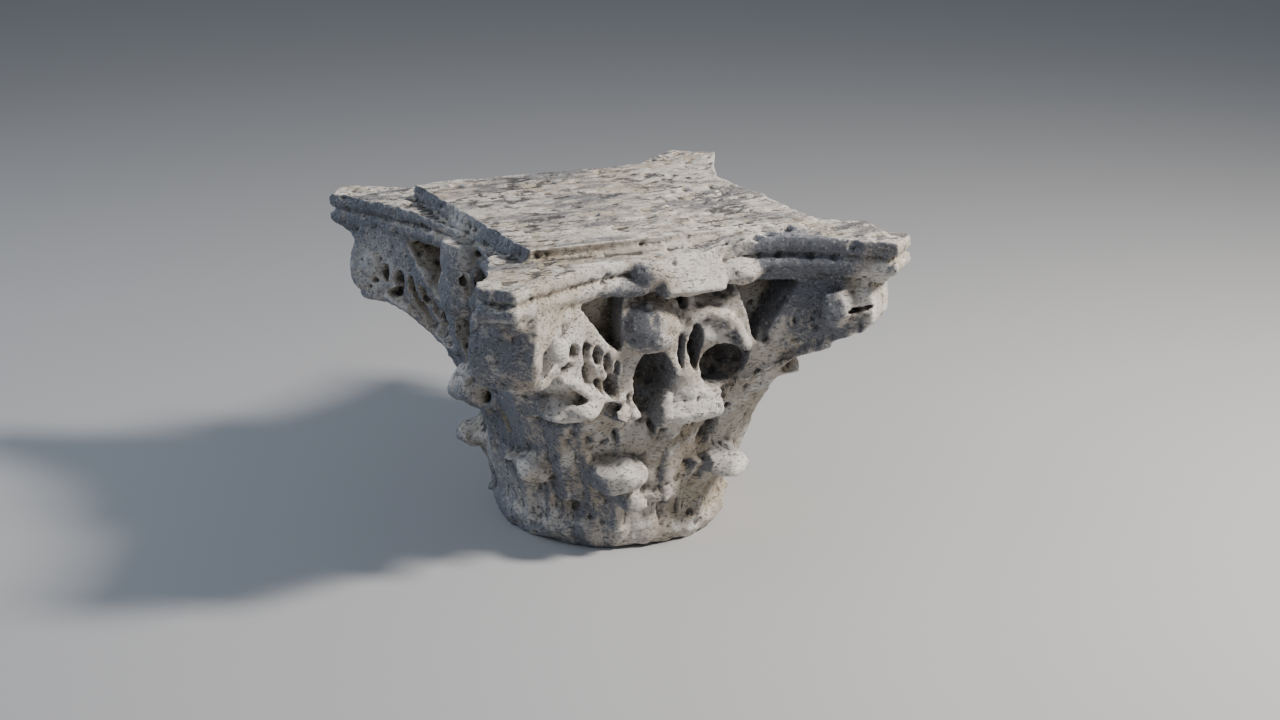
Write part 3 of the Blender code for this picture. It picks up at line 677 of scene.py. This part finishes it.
def normals_of(mesh):
    """The way each point faces."""
    no = np.empty(len(mesh.vertices) * 3, np.float32)
    mesh.vertex_normals.foreach_get("vector", no)
    return no.reshape(-1, 3).astype(float)


def set_points(mesh, co):
    """Moves the points to the rows of an array."""
    mesh.vertices.foreach_set("co", co.astype(np.float32).ravel())
    mesh.update()


# Turns the noise's grid away from the stone's faces.
TURNED = np.array(Matrix.Rotation(0.9, 3, Vector((1, 2, 3))))


def lattice(ix, iy, iz, seed):
    """A fixed pseudo-random number from 0 to 1 at each lattice point."""
    mixed = (ix * 374761393 + iy * 668265263 + iz * 2147483647 + seed * 1274126177) & 0xFFFFFFFF
    mixed = ((mixed ^ (mixed >> 13)) * 1274126177) & 0xFFFFFFFF
    return ((mixed ^ (mixed >> 16)) & 0xFFFF) / 65535.0


def noise(co, size, seed):
    """Smooth value noise from -1 to 1; size is its grain in metres, one number or one for each axis."""
    p = co / np.asarray(size, float) + 100.0
    cell = np.floor(p).astype(np.int64)
    f = p - cell
    f = f * f * f * (f * (f * 6 - 15) + 10)
    total = np.zeros(len(co))
    for dx in (0, 1):
        for dy in (0, 1):
            for dz in (0, 1):
                weight = (
                    (f[:, 0] if dx else 1 - f[:, 0])
                    * (f[:, 1] if dy else 1 - f[:, 1])
                    * (f[:, 2] if dz else 1 - f[:, 2])
                )
                total += weight * lattice(cell[:, 0] + dx, cell[:, 1] + dy, cell[:, 2] + dz, seed)
    return total * 2 - 1


def fractal(co, size, seed, octaves=3):
    """Noise with finer and weaker noise on it, each half the size and strength of the one before."""
    total, gain = np.zeros(len(co)), 1.0
    if np.ndim(size) == 0:
        co = co @ TURNED
    for k in range(octaves):
        total += gain * noise(co, np.asarray(size, float) / 2 ** k, seed + 17 * k)
        gain *= 0.5
    return total / 1.5


def step(low, high, value):
    """Goes smoothly from 0 to 1 while value goes from low to high."""
    t = np.clip((value - low) / (high - low), 0, 1)
    return t * t * (3 - 2 * t)


def edge_pairs(mesh):
    """The two points at each edge's ends."""
    pairs = np.empty(len(mesh.edges) * 2, np.int32)
    mesh.edges.foreach_get("vertices", pairs)
    return pairs.reshape(-1, 2)


def relaxed(values, pairs, rounds):
    """Values moved halfway to their neighbours' average along edges, a number of rounds."""
    count = len(values)
    degree = np.bincount(pairs.ravel(), minlength=count).astype(float)[:, None]
    values = values.copy()
    for _ in range(rounds):
        around = np.stack([
            np.bincount(pairs[:, 0], values[pairs[:, 1], k], count)
            + np.bincount(pairs[:, 1], values[pairs[:, 0], k], count)
            for k in range(values.shape[1])
        ], -1)
        values += (around / degree - values) * 0.5
    return values


# How deep the weather goes, in metres. On the sides: swells, ripples and the stone's tooth.
SWELL_DEPTH = 0.0036
RIPPLE_DEPTH = 0.0024
TOOTH_DEPTH = 0.0011

# On top: streaks, pits, torn patches and what is lost all over.
STREAK_DEPTH = 0.0030
PIT_DEPTH = 0.0085
TORN_DEPTH = 0.0045
TOP_LOSS = 0.0030

# Elsewhere: dents, the leaves' furrows, the foot's edge, the bed's left wall and the front leaf's break.
DENT_DEPTH = 0.0030
FURROW_DEPTH = 0.0030
FURROW_SHARPNESS = 2.6
FOOT_DEPTH = 0.0045
BED_WALL_DEPTH = 0.0110
LAYER_DEPTH = 0.0036
LAYER_WAVE = 0.004

# How many rounds of averaging wear the arrises and melt the leaves, and how far the leaves melt.
ARRIS_ROUNDS = 3
LEAF_ROUNDS = 14
LEAF_MELT = 0.85


def softened(mesh):
    """Points with worn arrises and melted leaves, and how moulded and how leafy each one is."""
    co, pairs = points_of(mesh), edge_pairs(mesh)
    moulded = step(ABACUS_FOOT - 0.01, ABACUS_FOOT + 0.01, co[:, 2])
    uneven = step(-0.2, 0.5, fractal(co, 0.05, SEED))
    keep = (0.30 + 0.70 * uneven) * (1 - 0.6 * moulded)
    co = co + (relaxed(co, pairs, ARRIS_ROUNDS) - co) * keep[:, None]
    leafy = step(0.05 * H, 0.12 * H, co[:, 2]) * (1 - step(0.50 * H, 0.62 * H, co[:, 2]))
    melted = relaxed(co, pairs, LEAF_ROUNDS)
    return co + (melted - co) * (LEAF_MELT * leafy)[:, None], moulded, leafy


def side_wear(co, moulded):
    """Swells, ripples and tooth of the sides, shallower on the mouldings."""
    rough = 1 - 0.45 * moulded
    depth = rough * (SWELL_DEPTH * fractal(co, 0.070, SEED + 1) + RIPPLE_DEPTH * fractal(co, 0.024, SEED + 2))
    return depth + TOOTH_DEPTH * fractal(co, 0.009, SEED + 9, 2)


def top_wear(co):
    """Streaks along the stone's bedding, and pits that are deeper in ragged patches."""
    streaks = fractal(co, (0.090, 0.016, 0.030), SEED + 3)
    pits = step(0.20, 0.50, noise(co, (0.020, 0.010, 0.012), SEED + 4))
    ragged = step(-0.05, 0.35, fractal(co, (0.22, 0.10, 0.2), SEED + 12))
    pits *= 0.35 + 0.65 * ragged
    torn = fractal(co, (0.030, 0.010, 0.02), SEED + 13)
    return STREAK_DEPTH * streaks - PIT_DEPTH * pits + TORN_DEPTH * ragged * torn - TOP_LOSS


def unrolled(co):
    """The points laid out by their way round the bell, distance from the axis and height."""
    around = np.arctan2(co[:, 1], co[:, 0]) * SHAFT_RADIUS
    return np.stack([around, np.hypot(co[:, 0], co[:, 1]), co[:, 2]], -1)


def snapped_share(co):
    """1 on the broken face of the front middle leaf, and 0 away from it."""
    return (
        step(-0.10 * H, -0.07 * H, co[:, 0]) * (1 - step(0.16 * H, 0.18 * H, co[:, 0]))
        * step(0.46 * H, 0.48 * H, -co[:, 1]) * step(0.43 * H, 0.45 * H, co[:, 2])
        * (1 - step(0.56 * H, 0.59 * H, co[:, 2]))
    )


def wear_stone(mesh):
    """Centuries of weather: softened arrises, wobble, dents and pits, with the foot left true."""
    co, moulded, leafy = softened(mesh)
    set_points(mesh, co)
    n = normals_of(mesh)
    upper = step(ABACUS_TOP - 0.020, ABACUS_TOP - 0.004, co[:, 2])
    top = step(0.75, 0.95, n[:, 2]) * upper
    depth = side_wear(co, moulded)
    depth = depth * (1 - top) + top * top_wear(co)
    dents = step(0.42, 0.75, noise(co @ TURNED, 0.018, SEED + 5))
    depth -= DENT_DEPTH * dents * (1 - top)
    run = unrolled(co)
    furrows = 1 - np.abs(fractal(run, (0.034, 0.15, 0.16), SEED + 6)) * FURROW_SHARPNESS
    depth -= FURROW_DEPTH * np.clip(furrows, 0, 1) ** 2 * leafy
    near_foot = 1 - step(0.06 * H, 0.10 * H, co[:, 2])
    depth += FOOT_DEPTH * fractal(run, (0.030, 0.10, 0.016), SEED + 7) * near_foot
    bed_wall = upper * (1 - step(0.5, 0.8, n[:, 2])) * step(0.44 * H, 0.46 * H, -co[:, 0])
    depth += BED_WALL_DEPTH * bed_wall * fractal(co, 0.030, SEED + 8)
    wavy = co + LAYER_WAVE * fractal(co, 0.05, SEED + 11)[:, None]
    depth += LAYER_DEPTH * snapped_share(co) * fractal(wavy, (0.5, 0.5, 0.0065), SEED + 10, 2)
    co = co + n * depth[:, None]
    co[:, 2] = np.clip(co[:, 2], 0.0, HEIGHT)
    set_points(mesh, co)


def store(mesh, name, values):
    """Keeps one number for each point, for the material to read."""
    layer = mesh.attributes.new(name, "FLOAT", "POINT")
    layer.data.foreach_set("value", np.asarray(values, np.float32))


# Pale broken faces, partly painted light, and with a minus more crust as painted shade: angle, radius,
# height, step across, size, strength.
PATCHES = [
    (-90, 0.560, 0.930, 0.01, 0.120, 0.9), (-90, 0.510, 0.500, 0.04, 0.100, 0.9),
    (-61, 0.510, 0.295, 0.00, 0.100, 1.1), (-112, 0.500, 0.310, 0.00, 0.070, 0.8),
    (-126, 0.620, 0.590, 0.00, 0.120, 0.9), (-90, 0.640, 0.770, -0.43, 0.110, 0.9),
    (-149, 0.500, 0.300, 0.00, 0.050, 0.7), (180, 0.560, 0.530, 0.00, 0.060, 0.8),
    (-90, 0.720, 0.850, 0.53, 0.100, 1.0), (157, 0.400, 0.260, 0.00, 0.260, 0.4),
    (135, 0.780, 0.780, 0.12, 0.150, 0.5), (-90, 0.560, 0.790, -0.15, 0.090, -1.0),
    (-90, 0.600, 0.990, 0.32, 0.140, -1.4), (-90, 0.560, 0.900, -0.20, 0.110, -0.9),
    (-135, 0.920, 0.760, -0.05, 0.110, -0.4), (-90, 0.620, 0.930, 0.35, 0.120, -0.9),
    (-130, 0.550, 0.480, 0.00, 0.090, -0.4), (-90, 0.580, 0.980, -0.30, 0.090, -0.5),
    (-160, 0.380, 0.080, 0.00, 0.160, 0.3), (-90, 0.640, 0.780, 0.44, 0.070, -0.8),
    (180, 0.490, 1.030, 0.00, 0.300, 0.35),
]


# How sunk a point is, in metres, that counts as 1, against its near and its wider neighbours, and
# the rounds of averaging that make those.
FINE_DEPTH = 0.0020
BROAD_DEPTH = 0.012
FINE_ROUNDS = 4
BROAD_ROUNDS = 40


def mark_hollows(mesh):
    """Stores how sunk or proud each point is, fine and broad, and where the pale breaks, painted light and
    painted shade go, for the patina and the painted shade.
    """
    co, n, pairs = points_of(mesh), normals_of(mesh), edge_pairs(mesh)
    fine = relaxed(co, pairs, FINE_ROUNDS)
    store(mesh, "fine_hollow", ((fine - co) * n).sum(1) / FINE_DEPTH)
    broad = relaxed(fine, pairs, BROAD_ROUNDS)
    store(mesh, "broad_hollow", ((broad - co) * n).sum(1) / BROAD_DEPTH)
    # Positive for pale breaks and painted light, negative for painted shade.
    breaks_and_painted_light = np.zeros(len(co))
    for angle, radius, z, across, size, strength in PATCHES:
        away = co - np.array(at(angle, radius * H, z * H, across * H))
        breaks_and_painted_light += strength * np.exp(-((away / (size * H)) ** 2).sum(1))
    store(mesh, "breaks_and_painted_light", breaks_and_painted_light)


class Shading:
    """The nodes of one material, with short ways to make the kinds that the stone needs."""

    def __init__(self, name):
        self.material = bpy.data.materials.new(name)
        self.material.use_nodes = True
        self.nodes = self.material.node_tree.nodes
        self.links = self.material.node_tree.links
        self.shader = self.nodes["Principled BSDF"]
        self.coords = self.nodes.new("ShaderNodeTexCoord").outputs["Object"]
        geometry = self.nodes.new("ShaderNodeNewGeometry")
        split = self.nodes.new("ShaderNodeSeparateXYZ")
        self.links.new(geometry.outputs["Normal"], split.inputs["Vector"])
        self.facing = split.outputs

    def grain(self, scale, detail=6.0, rough=0.6, stretch=(1, 1, 1)):
        """Noise over the stone, about 0.5."""
        mapping = self.nodes.new("ShaderNodeMapping")
        mapping.inputs["Scale"].default_value = stretch
        self.links.new(self.coords, mapping.inputs["Vector"])
        texture = self.nodes.new("ShaderNodeTexNoise")
        texture.inputs["Scale"].default_value = scale
        texture.inputs["Detail"].default_value = detail
        texture.inputs["Roughness"].default_value = rough
        self.links.new(mapping.outputs["Vector"], texture.inputs["Vector"])
        return texture.outputs["Fac"]

    def ramp(self, value, low, high, start=0.0, end=1.0):
        """Goes smoothly from start to end while value goes from low to high."""
        made = self.nodes.new("ShaderNodeMapRange")
        made.interpolation_type = "SMOOTHSTEP"
        made.inputs["From Min"].default_value = low
        made.inputs["From Max"].default_value = high
        made.inputs["To Min"].default_value = start
        made.inputs["To Max"].default_value = end
        self.links.new(value, made.inputs["Value"])
        return made.outputs["Result"]

    def tint(self, base, colour, share):
        """Base with a share of colour over it."""
        mix = self.nodes.new("ShaderNodeMix")
        mix.data_type = "RGBA"
        self.links.new(share, mix.inputs["Factor"])
        if isinstance(base, tuple):
            mix.inputs["A"].default_value = (*base, 1)
        else:
            self.links.new(base, mix.inputs["A"])
        mix.inputs["B"].default_value = (*colour, 1)
        return mix.outputs["Result"]

    def attribute(self, name):
        """A number stored on the mesh's points."""
        node = self.nodes.new("ShaderNodeAttribute")
        node.attribute_name = name
        return node.outputs["Fac"]

    def maths(self, kind, a, b):
        """The sum or product of two values, each a number or a socket."""
        node = self.nodes.new("ShaderNodeMath")
        node.operation = kind
        for value, socket in ((a, node.inputs[0]), (b, node.inputs[1])):
            if isinstance(value, float):
                socket.default_value = value
            else:
                self.links.new(value, socket)
        return node.outputs["Value"]

    def plus(self, a, b):
        return self.maths("ADD", a, b)

    def times(self, a, b):
        return self.maths("MULTIPLY", a, b)

    def signed(self, value):
        """Noise about 0.5 turned into noise about 0, twice as strong."""
        return self.times(self.plus(value, -0.5), 2.0)


# Colours of the stone, of what grew, broke and settled on it, and of the painted shade and painted light on
# it.
CREAM = (0.51, 0.465, 0.41)
TAN = (0.40, 0.345, 0.28)
CLEAN = (0.68, 0.66, 0.63)
OCHRE = (0.27, 0.21, 0.11)
WORN_EDGE = (0.72, 0.70, 0.66)
BLOTCH = (0.17, 0.165, 0.17)
# Painted shade of the pits on top.
PIT_SHADE = (0.055, 0.05, 0.05)
# Blue-grey crust, with painted shade on the side away from the key light.
BLUE_CRUST_AND_SHADE = (0.120, 0.132, 0.160)
# Pale breaks, partly painted light on faces turned to the key light.
PALE_BREAK_AND_PAINTED_LIGHT = (0.72, 0.69, 0.65)
# Brown painted shade, with some dirt, for the broad hollows.
HOLLOW_SHADE_AND_DIRT = (0.09, 0.075, 0.048)
# Near-black painted shade for the fine hollows.
CREVICE_SHADE = (0.050, 0.046, 0.042)
FLECK = (0.56, 0.56, 0.57)
SPECK = (0.10, 0.10, 0.105)

# How much the crust and its painted shade grow on what faces along each axis.
CRUST_AND_SHADE_FACING = {"X": -1.10, "Y": 0.10, "Z": -0.22}

ROUGHNESS = 0.85
BUMP_STRENGTH = 0.85
BUMP_DEPTH = 0.0045


def bare_stone(kit):
    """Cream marble with tan and clean patches, ochre in the hollows and pale worn edges."""
    colour = kit.tint(CREAM, TAN, kit.ramp(kit.grain(8.0), 0.42, 0.62))
    colour = kit.tint(colour, CLEAN, kit.ramp(kit.grain(24.0), 0.50, 0.68, 0.0, 0.85))
    stained = kit.ramp(kit.grain(6.0, 5.0), 0.42, 0.62, 0.0, 0.65)
    hollow = kit.ramp(kit.attribute("broad_hollow"), -0.4, 0.4)
    colour = kit.tint(colour, OCHRE, kit.times(stained, hollow))
    return kit.tint(colour, WORN_EDGE, kit.ramp(kit.attribute("fine_hollow"), -0.35, -1.2, 0.0, 0.45))


def top_growth_and_pit_shade(kit, colour):
    """Grey blotches, and clusters of pits painted dark as painted shade, on what faces up."""
    upward = kit.ramp(kit.facing["Z"], 0.80, 0.96)
    blotched = kit.ramp(kit.grain(9.0, 5.0, 0.66, (0.5, 1.5, 1.0)), 0.49, 0.58, 0.0, 0.90)
    colour = kit.tint(colour, BLOTCH, kit.times(blotched, upward))
    clustered = kit.ramp(kit.grain(5.0, 3.0), 0.42, 0.60, 0.10, 1.0)
    pit_shaded = kit.ramp(kit.grain(52.0, 2.0, 0.5, (0.6, 1.2, 1.0)), 0.535, 0.58, 0.0, 0.95)
    # Painted shade: pits on top painted near-black.
    return kit.tint(colour, PIT_SHADE, kit.times(kit.times(clustered, pit_shaded), upward))


def crust_and_painted_light(kit, colour):
    """Blue-grey crust and painted shade on what faces away from the sun, and pale breaks, partly painted
    light, that have none.
    """
    facing = [kit.times(kit.facing[axis], share) for axis, share in CRUST_AND_SHADE_FACING.items()]
    crust_and_shade = kit.plus(kit.plus(facing[0], facing[1]), facing[2])
    crust_and_shade = kit.plus(crust_and_shade, kit.signed(kit.grain(5.5, 6.0, 0.65)))
    crust_and_shade = kit.plus(crust_and_shade, kit.signed(kit.grain(75.0, 5.0, 0.75)))
    # Negative patches add painted shade to the crust; positive ones clear it.
    crust_and_shade = kit.plus(crust_and_shade, kit.times(kit.attribute("breaks_and_painted_light"), -0.9))
    # Paints the crust and the painted shade on what faces away from the key light.
    colour = kit.tint(colour, BLUE_CRUST_AND_SHADE, kit.ramp(crust_and_shade, 0.10, 0.85, 0.0, 0.92))
    breaks_and_painted_light = kit.ramp(kit.attribute("breaks_and_painted_light"), 0.15, 0.75, 0.0, 0.75)
    # Pale breaks, partly painted light.
    return kit.tint(colour, PALE_BREAK_AND_PAINTED_LIGHT, kit.times(breaks_and_painted_light, kit.ramp(kit.grain(30.0), 0.40, 0.60, 0.5, 1.0)))


def hollow_shade_and_dirt(kit, colour):
    """Brown painted shade, with some dirt, in the broad hollows that don't face up, and near-black painted
    shade in the fine ones.
    """
    not_facing_up = kit.ramp(kit.facing["Z"], 0.60, 0.05, 0.25, 1.0)
    sunk = kit.times(not_facing_up, kit.ramp(kit.attribute("broad_hollow"), 0.15, 0.9, 0.0, 0.90))
    # Painted shade in the broad hollows that face down or sideways.
    colour = kit.tint(colour, HOLLOW_SHADE_AND_DIRT, sunk)
    # Painted shade in the fine hollows and creases.
    return kit.tint(colour, CREVICE_SHADE, kit.ramp(kit.attribute("fine_hollow"), 0.25, 1.0, 0.0, 0.88))


def speck_grain(kit):
    """The grain that the dark specks and their pricks share."""
    return kit.grain(190.0, 3.0, 0.65, (0.6, 1.3, 1.3))


def specks(kit, colour):
    """Fine pale flecks, and dark specks in clusters."""
    colour = kit.tint(colour, FLECK, kit.ramp(kit.grain(200.0, 2.0, 0.6), 0.58, 0.70, 0.0, 0.45))
    speckled = kit.ramp(kit.grain(10.0, 3.0), 0.38, 0.62, 0.15, 0.80)
    return kit.tint(colour, SPECK, kit.times(speckled, kit.ramp(speck_grain(kit), 0.55, 0.68)))


def tooth(kit):
    """The bump of the stone's grain, pricked where the specks are."""
    height = kit.plus(kit.grain(60.0, 8.0, 0.65), kit.ramp(speck_grain(kit), 0.55, 0.70, 0.0, -0.8))
    bump = kit.nodes.new("ShaderNodeBump")
    bump.inputs["Strength"].default_value = BUMP_STRENGTH
    bump.inputs["Distance"].default_value = BUMP_DEPTH
    kit.links.new(height, bump.inputs["Height"])
    return bump.outputs["Normal"]


def marble():
    """Weathered marble, from the bare stone out to the specks on it."""
    kit = Shading("weathered_marble")
    colour = bare_stone(kit)
    for layer in (top_growth_and_pit_shade, crust_and_painted_light, hollow_shade_and_dirt, specks):
        colour = layer(kit, colour)
    kit.shader.inputs["Roughness"].default_value = ROUGHNESS
    kit.links.new(colour, kit.shader.inputs["Base Color"])
    kit.links.new(tooth(kit), kit.shader.inputs["Normal"])
    return kit.material


def cut_away(mesh, cutters):
    """The mesh less the cutters' volume."""
    cutter = bpy.data.objects.new("cutter", cutters)
    bpy.context.collection.objects.link(cutter)
    made = evaluated(mesh, "BOOLEAN", operation="DIFFERENCE", solver="MANIFOLD", object=cutter)
    bpy.data.objects.remove(cutter)
    return made


def carve_capital():
    """The finished piece: stone less its hollows and breaks, worn, thinned and clothed in marble."""
    stone = carved(add_bell, add_wall, add_scrolls, add_leaves, add_helices, add_lower_edges, add_abacus,
                   add_fleurons, add_front_break, add_chunks)
    holes = carved(cut_hollows, cut_drill_holes, cut_undercuts, cut_breaks)
    stone = evaluated(stone, "REMESH", mode="VOXEL", voxel_size=VOXEL)
    holes = evaluated(holes, "REMESH", mode="VOXEL", voxel_size=CUTTER_VOXEL)
    block = evaluated(cut_away(stone, holes), "REMESH", mode="VOXEL", voxel_size=VOXEL)
    wear_stone(block)
    faces = len(block.polygons) * 2
    fine = evaluated(block, "DECIMATE", ratio=min(1.0, TRIANGLES / faces))
    fine.shade_smooth()
    mark_hollows(fine)
    fine.materials.clear()
    fine.materials.append(marble())
    fine.name = "carved_capital"
    capital = bpy.data.objects.new("carved_capital", fine)
    bpy.context.collection.objects.link(capital)
    return capital


# The fitted camera: angles in degrees, its distance and what it looks at as shares of the carving's
# height, its focal length in pixels of a picture of this width, and a sensor's usual width in mm.
CAMERA_AZIMUTH = -26.6
CAMERA_ELEVATION = 17.49
CAMERA_ROLL = 0.86
CAMERA_DISTANCE = 6.784
CAMERA_TARGET = (0.0861, -0.0391, 0.5114)
FOCAL_PIXELS = 2077.4
PHOTO_WIDTH = 1280
SENSOR_WIDTH = 36.0


def toward(azimuth, elevation):
    """The unit step from the capital toward an azimuth and elevation in degrees, 0 being in front."""
    a, e = math.radians(azimuth), math.radians(elevation)
    return Vector((math.sin(a) * math.cos(e), -math.cos(a) * math.cos(e), math.sin(e)))


def add_camera():
    """The photograph's view, fitted to its horns, foot and leaf tips."""
    back = toward(CAMERA_AZIMUTH, CAMERA_ELEVATION)
    camera = bpy.data.objects.new("camera", bpy.data.cameras.new("camera"))
    camera.location = Vector(CAMERA_TARGET) * H + back * (CAMERA_DISTANCE * H)
    roll = Matrix.Rotation(math.radians(CAMERA_ROLL), 4, "Z")
    camera.rotation_euler = (back.to_track_quat("Z", "Y").to_matrix().to_4x4() @ roll).to_euler()
    camera.data.sensor_width = SENSOR_WIDTH
    camera.data.lens = FOCAL_PIXELS / PHOTO_WIDTH * SENSOR_WIDTH
    bpy.context.collection.objects.link(camera)
    bpy.context.scene.camera = camera


# The studio's lights, in metres and linear colours, and its floor just below the foot.
LIGHT_DISTANCE = 4.0
SUN_COLOUR = (1.0, 0.94, 0.87)
SHADE_COLOUR = (0.74, 0.84, 1.0)
SKY_COLOUR = (0.70, 0.80, 0.96)
SKY_STRENGTH = 0.25
FLOOR_SIZE = 24
FLOOR_DROP = 0.0005
FLOOR_GREY = 0.42
FLOOR_ROUGHNESS = 0.9


def area_light(name, azimuth, elevation, size, watts, colour):
    """A square light aimed at the capital's middle."""
    back = toward(azimuth, elevation)
    light = bpy.data.objects.new(name, bpy.data.lights.new(name, "AREA"))
    light.data.size = size
    light.data.energy = watts
    light.data.color = colour
    light.location = back * LIGHT_DISTANCE + Vector((0, 0, HEIGHT / 2))
    light.rotation_euler = back.to_track_quat("Z", "Y").to_euler()
    bpy.context.collection.objects.link(light)


def pale_floor():
    """Plain matt paper."""
    paper = bpy.data.materials.new("pale_floor")
    paper.use_nodes = True
    shader = paper.node_tree.nodes["Principled BSDF"]
    shader.inputs["Base Color"].default_value = (FLOOR_GREY, FLOOR_GREY, FLOOR_GREY, 1)
    shader.inputs["Roughness"].default_value = FLOOR_ROUGHNESS
    return paper


def add_studio():
    """The floor, a warm sun from the right, a cool fill from the left and a dim sky."""
    bpy.ops.mesh.primitive_plane_add(size=FLOOR_SIZE, location=(0, 0, -FLOOR_DROP))
    floor = bpy.context.object
    floor.name = "floor"
    floor.data.materials.append(pale_floor())
    area_light("key", 54, 42, 0.6, 300, SUN_COLOUR)
    area_light("fill", -112, 32, 3.5, 75, SHADE_COLOUR)
    world = bpy.data.worlds.new("studio")
    world.use_nodes = True
    sky = world.node_tree.nodes["Background"]
    sky.inputs["Color"].default_value = (*SKY_COLOUR, 1)
    sky.inputs["Strength"].default_value = SKY_STRENGTH
    bpy.context.scene.world = world


add_camera()
add_studio()
capital = carve_capital()
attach(capital, "root")
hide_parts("capital")
